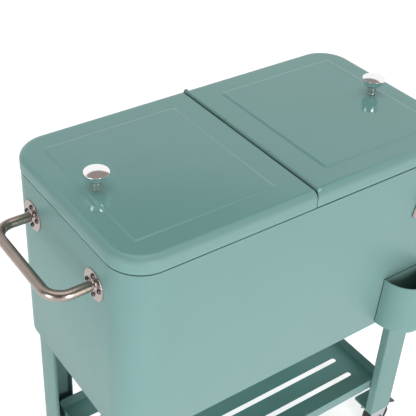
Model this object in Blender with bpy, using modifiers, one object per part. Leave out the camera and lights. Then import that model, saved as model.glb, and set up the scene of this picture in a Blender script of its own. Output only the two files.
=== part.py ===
"""A patio cooler on wheels: insulated sheet-steel body with two lids hinged on a centre rod,
a pull handle on each end, a bottle opener with a cap catcher, four folded legs, a shelf and casters.

Metres, +Z up, the floor at z = 0, +X along the length, and the front of the cooler at -Y.
"""

import math

import bmesh
import bpy
from mathutils import Matrix, Vector

# Driving dimensions
HALF_LENGTH = 0.365  # half of the closed lids, along X
HALF_WIDTH = 0.197  # half of the closed lids, along Y
LID_TOP = 0.810  # flat border of the lids above the floor
PLAN_RADIUS = 0.063  # vertical corners of lids and body
GAP = 0.0003  # between pieces that touch
SHEET = 0.0012  # painted steel of body and lids

# Lids
EDGE_RADIUS = 0.013
SKIRT = 0.030
HINGE_EDGE_RADIUS = 0.0015
PANEL_RISE = 0.0015
PANEL_SLOPE = 0.005
PANEL_END_MARGIN = 0.0425
PANEL_SIDE_MARGIN = 0.047
PANEL_HINGE_MARGIN = 0.0515
PANEL_CORNER = 0.004
LINER_TOP = 0.0040
LINER_BOTTOM = 0.022
GASKET_BOTTOM = 0.0280

# Hinge
HINGE_X = 0.0025
HINGE_DROP = 0.001  # of the rod's axis below the lids' flat border
LEFT_LID_EDGE = -0.0045
RIGHT_LID_EDGE = 0.0075
ROD_RADIUS = 0.0025
KNUCKLE_RADIUS = 0.0045
KNUCKLE_BORE = 0.0028
BARREL_HALF = 0.191
LUG_Y = 0.0625
LUG_HALF = 0.0017
KNUCKLE_CLEARANCE = 0.0005
BAR_HALF = 0.022
BAR_DEPTH = 0.016

# Body
BODY_INSET = 0.001
BODY_TOP = LID_TOP - SKIRT - 0.0016
BODY_BOTTOM = LID_TOP - 0.392
TOP_FLANGE = 0.015
RIM_TOP = LID_TOP - GASKET_BOTTOM - GAP
RIM_INSET = 0.009
TUB_WALL = 0.0025
TUB_FLOOR = LID_TOP - 0.363
MOUTH_INSET = 0.030
DRAIN = Vector((0.250, 0.080))

# Handles
HANDLE_REACH = 0.437
HANDLE_Y = 0.105  # half the distance between a handle's two flanges
HANDLE_SHIFT = 0.007  # the handles stand a little behind the middle
HANDLE_DROP = 0.1005
HANDLE_TUBE = 0.009
HANDLE_BEND = 0.033
FLANGE_RADIUS = 0.0285
FLANGE_SHEET = 0.0014

# Knobs
KNOB_X = 0.300
KNOB_RADIUS = 0.0213
KNOB_HEIGHT = 0.0335
KNOB_BOWL = 0.0150
KNOB_SEAT = 0.0165  # where the head rests on the stem

# Opener and cap catcher
CATCHER_X = 0.253
CATCHER_RIM = (0.049, 0.057)  # half width and depth at the rim
CATCHER_BASE = (0.054, 0.063)  # half width and depth at the bottom
CATCHER_TOP = LID_TOP - 0.279
CATCHER_BOTTOM = LID_TOP - 0.388
OPENER_X = 0.267
OPENER_HEIGHT = 0.076
OPENER_TOP_HALF = 0.013
OPENER_BASE_HALF = 0.024
OPENER_SHEET = 0.0035
OPENER_CENTRE = LID_TOP - 0.112

# Legs and shelf
LEG_X = 0.342
LEG_Y = 0.177
LEG_FACE = 0.059
LEG_LIP = 0.018
LEG_SIDE_LIP = 0.006
LEG_SHEET = 0.0016
LEG_BOTTOM = 0.081
SHELF_TOP = 0.150
SHELF_WALL = 0.025

# Casters
WHEEL_RADIUS = 0.031
WHEEL_HALF = 0.012
TRAIL = 0.022
ARM_Y = 0.0165
ARM_SHEET = 0.0022
CASTER_AXIS = (LEG_X - LEG_FACE / 2, LEG_Y - LEG_FACE / 2)
PEDAL_PIVOT = (TRAIL + 0.012, 0.0680)

# The catcher stands out at the front, so the body sits back by half of that: the whole is centred.
BODY_Y = CATCHER_BASE[1] / 2
CORNER_STEPS = 6
LARGE_RADIUS = 0.010  # corners above this take CORNER_STEPS


# Scene, collections and materials


def clear_scene():
    for obj in list(bpy.data.objects):
        bpy.data.objects.remove(obj, do_unlink=True)


def new_collection(name):
    collection = bpy.data.collections.new(name)
    bpy.context.scene.collection.children.link(collection)
    return collection


def material(name, colour, roughness, metallic):
    made = bpy.data.materials.new(name)
    made.use_nodes = True
    shader = made.node_tree.nodes["Principled BSDF"]
    shader.inputs["Base Color"].default_value = (*colour, 1.0)
    shader.inputs["Roughness"].default_value = roughness
    shader.inputs["Metallic"].default_value = metallic
    made.diffuse_color = (*colour, 1.0)
    return made


clear_scene()
PARTS = new_collection("cooler_cart")
CUTTERS = new_collection("cutters")
CUTTERS.hide_render = True
PAINT = material("painted_steel", (0.26, 0.45, 0.42), 0.30, 0.0)
STAINLESS = material("stainless_steel", (0.60, 0.56, 0.53), 0.28, 1.0)
CHROME = material("polished_chrome", (0.90, 0.90, 0.90), 0.04, 1.0)
ZINC = material("zinc_plate", (0.55, 0.56, 0.57), 0.35, 1.0)
LINER = material("liner_plastic", (0.80, 0.81, 0.80), 0.45, 0.0)
FOAM = material("foam", (0.85, 0.78, 0.55), 0.90, 0.0)
SEAL = material("seal_rubber", (0.08, 0.08, 0.08), 0.70, 0.0)
TYRE = material("tyre_rubber", (0.05, 0.05, 0.05), 0.75, 0.0)
BLACK = material("black_plastic", (0.04, 0.04, 0.04), 0.50, 0.0)

CENTRE = bpy.data.objects.new("body_centre", None)
CENTRE.location = (0, BODY_Y, 0)
PARTS.objects.link(CENTRE)


# Modelling helpers


def add(name, mesh, finish=None, location=(0, 0, 0)):
    """An object of the assembly, or a cutter when it has no finish."""
    obj = bpy.data.objects.new(name, mesh)
    if finish is None:
        CUTTERS.objects.link(obj)
        obj.hide_render = True
        obj.display_type = "WIRE"
    else:
        PARTS.objects.link(obj)
        obj.data.materials.append(finish)
    obj.parent = CENTRE
    obj.location = location
    return obj


def move_origin(obj, point):
    """Puts the origin at a point, such as one on a joint's axis, and leaves the shape where it is."""
    obj.data.transform(Matrix.Translation(obj.location - Vector(point)))
    obj.location = point


def mesh_of(name, bm):
    mesh = bpy.data.meshes.new(name)
    bm.to_mesh(mesh)
    bm.free()
    return mesh


def smooth(obj, degrees=35):
    obj.data.shade_smooth()
    obj.data.set_sharp_from_angle(angle=math.radians(degrees))
    return obj


def boolean(obj, other, operation):
    modifier = obj.modifiers.new(other.name, "BOOLEAN")
    modifier.operation = operation
    modifier.solver = "EXACT"
    modifier.object = other


def cut(obj, *cutters):
    for cutter in cutters:
        boolean(obj, cutter, "DIFFERENCE")


def join(obj, *others):
    for other in others:
        boolean(obj, other, "UNION")


def box(name, low, high, finish=None):
    low, high = Vector(low), Vector(high)
    size = high - low
    bm = bmesh.new()
    bmesh.ops.create_cube(bm, size=1, matrix=Matrix.Diagonal((*size, 1)))
    return add(name, mesh_of(name, bm), finish, (low + high) / 2)


def cylinder(name, radius, depth, centre, axis="Z", finish=None, segments=16):
    turn = {"X": Matrix.Rotation(math.pi / 2, 4, "Y"), "Y": Matrix.Rotation(math.pi / 2, 4, "X")}
    bm = bmesh.new()
    bmesh.ops.create_cone(
        bm,
        cap_ends=True,
        segments=segments,
        radius1=radius,
        radius2=radius,
        depth=depth,
        matrix=turn.get(axis, Matrix.Identity(4)),
    )
    return smooth(add(name, mesh_of(name, bm), finish, centre))


def turned(name, profile, finish=None, steps=24, closed=False):
    """A turned solid about Z: the (radius, height) profile runs down its outer side."""
    bm = bmesh.new()
    points = [bm.verts.new((radius, 0, height)) for radius, height in profile]
    for start, end in zip(points, points[1:]):
        bm.edges.new((start, end))
    if closed:
        bm.edges.new((points[-1], points[0]))
    obj = add(name, mesh_of(name, bm), finish)
    screw = obj.modifiers.new("turn", "SCREW")
    screw.steps = screw.render_steps = steps
    screw.use_merge_vertices = True
    screw.merge_threshold = 0.00001
    screw.use_smooth_shade = True
    return obj


def tube(name, points, radius, finish, resolution=3):
    curve = bpy.data.curves.new(name, "CURVE")
    curve.dimensions = "3D"
    curve.bevel_depth = radius
    curve.bevel_resolution = resolution
    curve.use_fill_caps = True
    spline = curve.splines.new("POLY")
    spline.points.add(len(points) - 1)
    for point, place in zip(spline.points, points):
        point.co = (*place, 1)
    return add(name, curve, finish)


def plate(name, outline, thickness, finish=None):
    """A flat outline in XY, of the given thickness above and below half-way, as a mesh."""
    curve = bpy.data.curves.new(name, "CURVE")
    curve.dimensions = "2D"
    curve.fill_mode = "BOTH"
    curve.extrude = thickness / 2
    spline = curve.splines.new("POLY")
    spline.use_cyclic_u = True
    spline.points.add(len(outline) - 1)
    for point, (x, y) in zip(spline.points, outline):
        point.co = (x, y, 0, 1)
    drawn = bpy.data.objects.new(name, curve)
    PARTS.objects.link(drawn)
    bpy.context.view_layer.update()
    graph = bpy.context.evaluated_depsgraph_get()
    mesh = bpy.data.meshes.new_from_object(drawn.evaluated_get(graph))
    bpy.data.objects.remove(drawn, do_unlink=True)
    bpy.data.curves.remove(curve)
    bm = bmesh.new()
    bm.from_mesh(mesh)
    bmesh.ops.remove_doubles(bm, verts=bm.verts, dist=0.00001)
    bmesh.ops.recalc_face_normals(bm, faces=bm.faces)
    bm.to_mesh(mesh)
    bm.free()
    return add(name, mesh, finish)


def arc(centre, radius, start, end, steps):
    """Points on an arc, in degrees, both ends included."""
    turns = [math.radians(start + (end - start) * i / steps) for i in range(steps + 1)]
    return [(centre[0] + radius * math.cos(t), centre[1] + radius * math.sin(t)) for t in turns]


def rounded(x0, x1, y0, y1, radii, steps=2):
    """A rounded rectangle, anticlockwise, with radii for its +x+y, -x+y, -x-y and +x-y corners."""
    corners = ((x1, y1, -1, -1), (x0, y1, 1, -1), (x0, y0, 1, 1), (x1, y0, -1, 1))
    points = []
    for index, ((x, y, side_x, side_y), radius) in enumerate(zip(corners, radii)):
        centre = (x + side_x * radius, y + side_y * radius)
        corner_steps = CORNER_STEPS if radius > LARGE_RADIUS else steps
        points += arc(centre, radius, 90 * index, 90 * index + 90, corner_steps)
    return points


def body_outline(inset):
    """The plan of the body and of the closed lids together, drawn in by an inset."""
    x, y = HALF_LENGTH - inset, HALF_WIDTH - inset
    return rounded(-x, x, -y, y, [PLAN_RADIUS - inset] * 4)


def lid_outline(side, inset, hinge_inset, corner=None, hinge_corner=0.001):
    """The plan of one lid: side is -1 on the left and 1 on the right."""
    y = HALF_WIDTH - inset
    far = PLAN_RADIUS - inset if corner is None else corner
    if side < 0:
        x0, x1 = inset - HALF_LENGTH, LEFT_LID_EDGE - hinge_inset
        return rounded(x0, x1, -y, y, (hinge_corner, far, far, hinge_corner))
    x0, x1 = RIGHT_LID_EDGE + hinge_inset, HALF_LENGTH - inset
    return rounded(x0, x1, -y, y, (far, hinge_corner, hinge_corner, far))


def ring_of(bm, outline, height):
    return [bm.verts.new((x, y, height)) for x, y in outline]


def bridge(bm, first, second):
    count = len(first)
    for i in range(count):
        j = (i + 1) % count
        bm.faces.new((first[i], first[j], second[j], second[i]))


def loft(name, levels, finish=None, start_cap=True, end_cap=True, looped=False, flip=False):
    """Skin over outlines with heights: outwards from bottom to top, and into a hollow from top down."""
    bm = bmesh.new()
    rings = [ring_of(bm, outline, height) for outline, height in levels]
    for lower, upper in zip(rings, rings[1:]):
        bridge(bm, lower, upper)
    if looped:
        bridge(bm, rings[-1], rings[0])
    if start_cap and not looped:
        bm.faces.new(rings[0][::-1])
    if end_cap and not looped:
        bm.faces.new(rings[-1])
    if flip:
        bmesh.ops.reverse_faces(bm, faces=bm.faces)
    return smooth(add(name, mesh_of(name, bm), finish))


def shell(obj, thickness):
    modifier = obj.modifiers.new("sheet", "SOLIDIFY")
    modifier.thickness = thickness
    modifier.offset = -1
    modifier.use_even_offset = True
    return obj


def ring_solid(name, outer, inner, low, high, finish=None):
    return loft(name, [(outer, low), (outer, high), (inner, high), (inner, low)], finish, looped=True)


# Body


def make_body_shell():
    outer = body_outline(BODY_INSET)
    levels = [
        (outer, BODY_BOTTOM),
        (outer, BODY_TOP - 0.0015),
        (body_outline(BODY_INSET + 0.0015), BODY_TOP),
        (body_outline(TOP_FLANGE), BODY_TOP),
    ]
    obj = loft("body_shell", levels, PAINT, start_cap=False, end_cap=False)
    return shell(obj, SHEET)


def make_base_pan():
    edge = body_outline(BODY_INSET + SHEET + GAP)
    levels = [(edge, BODY_BOTTOM + 0.014), (edge, BODY_BOTTOM + GAP)]
    obj = loft("base_pan", levels, PAINT, start_cap=False, flip=True)
    return shell(obj, SHEET)


def make_inner_tub():
    levels = [
        (body_outline(RIM_INSET), RIM_TOP),
        (body_outline(MOUTH_INSET), RIM_TOP),
        (body_outline(MOUTH_INSET + 0.001), RIM_TOP - 0.0015),
        (body_outline(MOUTH_INSET + 0.0045), TUB_FLOOR + 0.020),
        (body_outline(MOUTH_INSET + 0.0105), TUB_FLOOR + 0.006),
        (body_outline(MOUTH_INSET + 0.0225), TUB_FLOOR),
    ]
    obj = loft("inner_tub", levels, LINER, start_cap=False)
    return shell(obj, TUB_WALL)


def make_foam_core():
    outer = body_outline(0.0045)
    top = BODY_TOP - SHEET - 0.0005
    levels = [
        (outer, BODY_BOTTOM + 0.0025),
        (outer, top),
        (body_outline(MOUTH_INSET - 0.0035), top),
        (body_outline(MOUTH_INSET + 0.0008), TUB_FLOOR + 0.018),
        (body_outline(MOUTH_INSET + 0.0060), TUB_FLOOR + 0.003),
        (body_outline(MOUTH_INSET + 0.0180), TUB_FLOOR - 0.0034),
    ]
    return loft("foam_core", levels, FOAM)


def make_drain(pierced):
    """The spout through the floor, its nut below the pan and the screw cap on its end."""
    low = BODY_BOTTOM - 0.030
    place = (*DRAIN, 0)
    hole = cylinder("drain_hole", 0.0096, 0.080, (*DRAIN, BODY_BOTTOM + 0.010))
    for obj in pierced:
        cut(obj, hole)
    seat = TUB_FLOOR + GAP
    flange = seat + 0.002
    spout = [(0.0065, flange), (0.0150, flange), (0.0160, seat), (0.0090, seat), (0.0090, low), (0.0065, low)]
    nut = cylinder("drain_nut", 0.0160, 0.0060, (*DRAIN, BODY_BOTTOM - 0.0030), finish=BLACK, segments=6)
    cut(nut, cylinder("nut_bore", 0.0095, 0.0100, (*DRAIN, BODY_BOTTOM - 0.0030)))
    rim = low + 0.014
    base = low - 0.003
    cap = [(0.0093, rim), (0.0120, rim), (0.0120, base), (0.0, base), (0.0, low - GAP), (0.0093, low - GAP)]
    turned("drain_spout", spout, BLACK, closed=True).location = place
    turned("drain_cap", cap, BLACK, closed=True).location = place


# Lids and hinge


def lid_levels(side):
    """The outside of a lid, from the bottom of the skirt up over the rounded edge."""
    steps = 3
    levels = [(lid_outline(side, 0, 0), LID_TOP - SKIRT)]
    for i in range(steps + 1):
        turn = math.radians(90 * i / steps)
        inset = EDGE_RADIUS * (1 - math.cos(turn))
        hinge_inset = HINGE_EDGE_RADIUS * (1 - math.cos(turn))
        height = LID_TOP - EDGE_RADIUS * (1 - math.sin(turn))
        levels.append((lid_outline(side, inset, hinge_inset), height))
    return levels


def panel_outline(side, inset):
    near, far = PANEL_HINGE_MARGIN + inset, HALF_LENGTH - PANEL_END_MARGIN - inset
    y = HALF_WIDTH - PANEL_SIDE_MARGIN - inset
    x0, x1 = sorted((side * near, side * far))
    return rounded(x0, x1, -y, y, [PANEL_CORNER] * 4)


def make_lid_shell(name, side):
    bm = bmesh.new()
    rings = [ring_of(bm, outline, height) for outline, height in lid_levels(side)]
    for lower, upper in zip(rings, rings[1:]):
        bridge(bm, lower, upper)
    foot = ring_of(bm, panel_outline(side, 0), LID_TOP)
    crest = ring_of(bm, panel_outline(side, PANEL_SLOPE), LID_TOP + PANEL_RISE)
    bridge(bm, foot, crest)
    bm.faces.new(crest)
    edges = [edge for edge in bm.edges if edge.is_boundary]
    border = [edge for edge in edges if edge.verts[0].co.z > LID_TOP - 0.0001]
    bmesh.ops.triangle_fill(bm, use_beauty=True, edges=border, normal=(0, 0, 1))
    obj = smooth(add(name, mesh_of(name, bm), PAINT), 20)
    return shell(obj, SHEET)


def make_notch(word):
    """Shortens a lid's edge at the hinge, so that it stays above the rim of the tub."""
    reach = HALF_WIDTH - SHEET - 0.0010
    low = LID_TOP - SKIRT - 0.010
    high = LID_TOP - LINER_BOTTOM - 0.0005
    return box(f"notch_{word}", (LEFT_LID_EDGE - 0.003, -reach, low), (RIGHT_LID_EDGE + 0.003, reach, high))


def make_lid(word, side):
    """A lid shell with its liner, its gasket and its knob, all turning about the rod."""
    pivot = (HINGE_X, 0, LID_TOP - HINGE_DROP)
    lid = make_lid_shell(f"lid_{word}_shell", side)
    body = lid_outline(side, 0.0035, 0.0045)
    liner = loft(
        f"lid_{word}_liner",
        [
            (body, LID_TOP - LINER_BOTTOM),
            (body, LID_TOP - EDGE_RADIUS),
            (lid_outline(side, 0.014, 0.0065), LID_TOP - LINER_TOP),
        ],
        LINER,
    )
    gasket = ring_solid(
        f"lid_{word}_gasket",
        lid_outline(side, 0.010, 0.008, hinge_corner=0.004),
        lid_outline(side, 0.018, 0.016, hinge_corner=0.002),
        LID_TOP - GASKET_BOTTOM,
        LID_TOP - LINER_BOTTOM - GAP,
        SEAL,
    )
    knob = (side * KNOB_X, 0, LID_TOP + PANEL_RISE)
    cut(lid, make_notch(word), cylinder(f"knob_hole_{word}", 0.0026, 0.020, knob, segments=12))
    cut(liner, cylinder(f"knob_pocket_{word}", 0.0090, 0.024, (knob[0], 0, LID_TOP - LINER_TOP)))
    stem, head = make_knob(word, knob)
    for obj in (lid, liner, gasket, stem, head):
        move_origin(obj, pivot)


def make_knob(word, base):
    """The stem stands on the lid and its stud and nut hold from inside; the head sits on the stem."""
    nut_top = -SHEET - 2 * GAP
    stem_profile = [
        (0.0, KNOB_SEAT),
        (0.0085, KNOB_SEAT),
        (0.0085, 0.0016),
        (0.0094, 0.0010),
        (0.0094, GAP),
        (0.0022, GAP),
        (0.0022, nut_top),
        (0.0050, nut_top),
        (0.0050, nut_top - 0.0035),
        (0.0, nut_top - 0.0035),
    ]
    low = KNOB_SEAT + GAP
    head_profile = [
        (0.0, KNOB_HEIGHT),
        (KNOB_RADIUS * 0.6, KNOB_HEIGHT - 0.0009),
        (KNOB_RADIUS - 0.0006, KNOB_HEIGHT - 0.0023),
        (KNOB_RADIUS, KNOB_HEIGHT - 0.0032),
        (KNOB_RADIUS - 0.0006, KNOB_HEIGHT - 0.0064),
        (KNOB_RADIUS - 0.0030, low + 0.0040),
        (KNOB_BOWL, low + 0.0008),
        (KNOB_BOWL - 0.0008, low),
        (0.0, low),
    ]
    stem = turned(f"knob_{word}_stem", stem_profile, STAINLESS, steps=14)
    head = turned(f"knob_{word}_head", head_profile, CHROME, steps=20)
    for obj in (stem, head):
        obj.data.transform(Matrix.Translation(base))
        # The screw turns about the mesh's own axis, so the axis stays where the knob is.
        guide = bpy.data.objects.new(f"{obj.name}_axis", None)
        guide.location = base
        guide.parent = CENTRE
        PARTS.objects.link(guide)
        obj.modifiers["turn"].object = guide
    return stem, head


def make_centre_bar():
    """The bar across the mouth of the tub, with two lugs that carry the rod between the knuckles."""
    top = RIM_TOP
    end = HALF_WIDTH - MOUTH_INSET - 0.0016
    half = BAR_HALF
    bar = box("centre_bar", (HINGE_X - half, -end, top - BAR_DEPTH), (HINGE_X + half, end, top), LINER)
    axis_height = LID_TOP - HINGE_DROP
    for word, y in (("front", -LUG_Y), ("back", LUG_Y)):
        post = box(
            f"lug_post_{word}",
            (HINGE_X - 0.0040, y - LUG_HALF, top - 0.003),
            (HINGE_X + 0.0040, y + LUG_HALF, axis_height),
        )
        eye = cylinder(f"lug_eye_{word}", 0.0042, 2 * LUG_HALF, (HINGE_X, y, axis_height), "Y")
        join(bar, post, eye)
    bore = cylinder("lug_bore", KNUCKLE_BORE, 0.16, (HINGE_X, 0, axis_height), "Y")
    cut(bar, bore)
    return bar


def make_knuckle(name, y0, y1, side):
    """A barrel on the rod, with a leaf down the edge of the lid that it carries."""
    axis = Vector((HINGE_X, 0, LID_TOP - HINGE_DROP))
    middle, length = (y0 + y1) / 2, y1 - y0
    barrel = cylinder(name, KNUCKLE_RADIUS, length, (axis.x, middle, axis.z), "Y", PAINT)
    low = LID_TOP - 0.020
    if side < 0:
        inner = axis.x - 0.0020
        tongue_top = axis.z - KNUCKLE_BORE - 0.0004
        face = LEFT_LID_EDGE + GAP
        join(
            barrel,
            box(f"{name}_tongue", (face, y0, tongue_top - 0.0020), (inner, y1, tongue_top)),
            box(f"{name}_leaf", (face, y0, low), (face + SHEET, y1, tongue_top - 0.0005)),
        )
    else:
        face = RIGHT_LID_EDGE - GAP
        join(barrel, box(f"{name}_leaf", (face - SHEET, y0, low), (face, y1, axis.z - 0.0004)))
    cut(barrel, cylinder(f"{name}_bore", KNUCKLE_BORE, length + 0.01, (axis.x, middle, axis.z), "Y"))
    move_origin(barrel, axis)
    return barrel


def make_hinge():
    axis_height = LID_TOP - HINGE_DROP
    cylinder("hinge_rod", ROD_RADIUS, 2 * BARREL_HALF - 0.001, (HINGE_X, 0, axis_height), "Y", STAINLESS)
    near = LUG_Y - LUG_HALF - KNUCKLE_CLEARANCE
    past = LUG_Y + LUG_HALF + KNUCKLE_CLEARANCE
    make_knuckle("hinge_knuckle_middle", -near, near, -1)
    make_knuckle("hinge_knuckle_front", -BARREL_HALF, -past, 1)
    make_knuckle("hinge_knuckle_back", past, BARREL_HALF, 1)


# Handles


def handle_path(side):
    """A flat U: out of the end wall, round a bend, along Y, and back."""
    height = LID_TOP - HANDLE_DROP
    wall = HALF_LENGTH - BODY_INSET + GAP
    far = HANDLE_REACH - HANDLE_BEND
    turn_y = HANDLE_Y - HANDLE_BEND
    points = [(wall, -HANDLE_Y)]
    points += arc((far, -turn_y), HANDLE_BEND, -90, 0, 7)
    points += arc((far, turn_y), HANDLE_BEND, 0, 90, 7)
    points.append((wall, HANDLE_Y))
    return [(side * x, HANDLE_SHIFT + y, height) for x, y in points]


def make_handle(word, side):
    tube(f"handle_{word}_tube", handle_path(side), HANDLE_TUBE, STAINLESS)
    bore = HANDLE_TUBE + GAP
    profile = [
        (bore, 0.0060),
        (bore + 0.0016, 0.0052),
        (bore + 0.0030, FLANGE_SHEET + 0.0004),
        (FLANGE_RADIUS - 0.0008, FLANGE_SHEET),
        (FLANGE_RADIUS, FLANGE_SHEET - 0.0006),
        (FLANGE_RADIUS, 0.0),
        (bore, 0.0),
    ]
    wall = HALF_LENGTH - BODY_INSET + GAP
    for place, y in (("front", -HANDLE_Y), ("back", HANDLE_Y)):
        flange = turned(f"handle_{word}_flange_{place}", profile, STAINLESS, steps=20, closed=True)
        flange.location = (side * wall, HANDLE_SHIFT + y, LID_TOP - HANDLE_DROP)
        flange.rotation_euler = (0, side * math.pi / 2, 0)


# Opener and cap catcher


def opener_outline():
    """A bell: a half-round top that flares down to two rounded corners."""
    corner = 0.008
    top, low = OPENER_HEIGHT / 2 - OPENER_TOP_HALF, corner - OPENER_HEIGHT / 2
    outline = arc((OPENER_BASE_HALF - corner, low), corner, -90, 10, 3)
    outline += arc((0.0, top), OPENER_TOP_HALF, 10, 170, 6)
    return outline + arc((corner - OPENER_BASE_HALF, low), corner, 170, 270, 3)


def opener_block(name, half, far, near, low, high):
    """A block across the opener; far and near are measured out from the body's wall."""
    wall = BODY_INSET - HALF_WIDTH
    return box(name, (OPENER_X - half, wall - far, low), (OPENER_X + half, wall - near, high))


def make_opener(body_shell):
    """A plate with a lip that hooks under a bottle cap, held by two screws into the wall."""
    wall = BODY_INSET - HALF_WIDTH
    opener = plate("bottle_opener", opener_outline(), OPENER_SHEET, STAINLESS)
    opener.rotation_euler = (math.pi / 2, 0, 0)
    opener.location = (OPENER_X, wall - GAP - OPENER_SHEET / 2, OPENER_CENTRE)
    lip_low = OPENER_CENTRE - 0.008
    lip_high = OPENER_CENTRE + 0.002
    hood_low = OPENER_CENTRE + 0.029
    reach = 0.019
    root = 0.001
    join(
        opener,
        opener_block("opener_shelf", 0.014, reach, root, lip_low, lip_low + 0.003),
        opener_block("opener_tooth", 0.014, reach, reach - 0.003, lip_low, lip_high),
        opener_block("opener_hood", 0.011, 0.012, root, hood_low, hood_low + 0.003),
    )
    head = [(0.0, 0.0022), (0.0022, 0.0019), (0.0038, 0.0008), (0.0040, 0.0)]
    shank = [(0.0018, 0.0), (0.0018, -0.0060), (0.0, -0.0060)]
    for word, height in (("upper", 0.020), ("lower", -0.026)):
        hole = cylinder(
            f"opener_hole_{word}", 0.0022, 0.018, (OPENER_X, wall, OPENER_CENTRE + height), "Y", segments=12
        )
        cut(opener, hole)
        cut(body_shell, hole)
        screw = turned(f"opener_screw_{word}", head + shank, STAINLESS, steps=12)
        screw.location = (OPENER_X, wall - GAP - OPENER_SHEET - GAP, OPENER_CENTRE + height)
        screw.rotation_euler = (math.pi / 2, 0, 0)


def catcher_outline(half, depth):
    """Half an ellipse in front of the wall, from its left end along the front, clockwise in plan."""
    steps = 14
    points = []
    for i in range(steps + 1):
        turn = math.pi * i / steps
        points.append((CATCHER_X - half * math.cos(turn), -HALF_WIDTH - depth * math.sin(turn)))
    wall = BODY_INSET - HALF_WIDTH - GAP
    points[0] = (points[0][0], wall)
    points[-1] = (points[-1][0], wall)
    return points


def make_catcher():
    levels = [(catcher_outline(*CATCHER_RIM), CATCHER_TOP), (catcher_outline(*CATCHER_BASE), CATCHER_BOTTOM)]
    return shell(loft("cap_catcher", levels, PAINT, start_cap=False, flip=True), SHEET)


# Legs and shelf


def make_leg(word, side_x, side_y):
    """A folded angle with a lip on each face, a plate under the body and one over the caster."""
    corner = arc((0.006, 0.006), 0.006, 270, 180, 4)
    path = [(LEG_FACE, LEG_LIP), (LEG_FACE, 0.0), *corner, (0.0, LEG_FACE), (LEG_SIDE_LIP, LEG_FACE)]
    top = BODY_BOTTOM - GAP
    bm = bmesh.new()
    low, high = [
        [bm.verts.new((side_x * (LEG_X - x), side_y * (LEG_Y - y), height)) for x, y in path]
        for height in (LEG_BOTTOM, top)
    ]
    for i in range(len(path) - 1):
        bm.faces.new((low[i], low[i + 1], high[i + 1], high[i]))
    if side_x * side_y > 0:
        bmesh.ops.reverse_faces(bm, faces=bm.faces)
    leg = shell(add(f"leg_{word}", mesh_of(f"leg_{word}", bm), PAINT), LEG_SHEET)
    near, far = 0.0008, LEG_FACE - 0.0008
    xs = sorted((side_x * (LEG_X - near), side_x * (LEG_X - far)))
    ys = sorted((side_y * (LEG_Y - near), side_y * (LEG_Y - far)))
    for place, base in (("foot", LEG_BOTTOM), ("head", top - 0.0025)):
        outline = rounded(*xs, *ys, [0.006] * 4)
        cover = plate(f"leg_{word}_{place}", outline, 0.0025)
        cover.location.z = base + 0.00125
        join(leg, cover)
    return leg


def make_shelf():
    """A pan with a low wall; its corner tabs reach between the lips of the legs."""
    x, y = LEG_X - LEG_LIP - 0.001, LEG_Y - LEG_LIP - 0.001
    tab = LEG_SHEET + GAP
    reach = LEG_FACE - LEG_SHEET - 0.0020
    slant = 0.003
    quarter = [
        (x, LEG_Y - reach + slant),
        (LEG_X - tab, LEG_Y - reach),
        (LEG_X - tab, LEG_Y - 0.012),
        (LEG_X - 0.012, LEG_Y - tab),
        (LEG_X - reach, LEG_Y - tab),
        (LEG_X - reach + slant, y),
    ]
    outline = list(quarter)
    outline += [(-px, py) for px, py in quarter[::-1]]
    outline += [(-px, -py) for px, py in quarter]
    outline += [(px, -py) for px, py in quarter[::-1]]
    shelf = plate("lower_shelf", outline, 0.0015, PAINT)
    shelf.location.z = SHELF_TOP - 0.00075
    inner = LEG_X - LEG_FACE - 0.004
    wall_x, wall_y = x - 0.002, y - 0.002
    wall = ring_solid(
        "shelf_wall",
        rounded(-wall_x, wall_x, -wall_y, wall_y, [0.012] * 4),
        rounded(0.0015 - wall_x, wall_x - 0.0015, 0.0015 - wall_y, wall_y - 0.0015, [0.0105] * 4),
        SHELF_TOP - 0.0010,
        SHELF_TOP + SHELF_WALL,
    )
    join(shelf, wall)
    slots = 5
    for i in range(slots):
        slot_y = (i - (slots - 1) / 2) * 0.050
        slot = rounded(-inner, inner, slot_y - 0.006, slot_y + 0.006, [0.0059] * 4)
        hole = plate(f"shelf_slot_{i}", slot, 0.02)
        hole.location.z = SHELF_TOP
        cut(shelf, hole)
    return shelf


# Casters


def make_caster(word, side_x, side_y, braked):
    """Mount, swivelling fork, axle, wheel core and tyre. The wheel trails towards +X."""
    x, y = side_x * CASTER_AXIS[0], side_y * CASTER_AXIS[1]
    make_caster_mount(word, x, y)
    make_fork(word, x, y, braked)
    axle_x = x + TRAIL
    shank = cylinder(f"caster_{word}_axle", 0.0030, 0.0400, (axle_x, y, WHEEL_RADIUS), "Y", ZINC, 12)
    for end in (-1, 1):
        head = (axle_x, y + end * 0.0205, WHEEL_RADIUS)
        join(shank, cylinder(f"axle_head_{word}_{end}", 0.0055, 0.0035, head, "Y", segments=12))
    core_profile = [
        (0.0034, 0.0125),
        (0.0085, 0.0125),
        (0.0085, 0.0070),
        (0.0230, 0.0100),
        (0.0230, -0.0100),
        (0.0085, -0.0070),
        (0.0085, -0.0125),
        (0.0034, -0.0125),
    ]
    tyre_profile = [
        (0.0233, WHEEL_HALF),
        (0.0285, WHEEL_HALF),
        (WHEEL_RADIUS, 0.0060),
        (WHEEL_RADIUS, -0.0060),
        (0.0285, -WHEEL_HALF),
        (0.0233, -WHEEL_HALF),
    ]
    for piece, profile, finish in (("wheel", core_profile, BLACK), ("tyre", tyre_profile, TYRE)):
        obj = turned(f"caster_{word}_{piece}", profile, finish, steps=20, closed=True)
        obj.location = (axle_x, y, WHEEL_RADIUS)
        obj.rotation_euler = (math.pi / 2, 0, 0)
    if braked:
        make_pedal(word, x, y)


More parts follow.
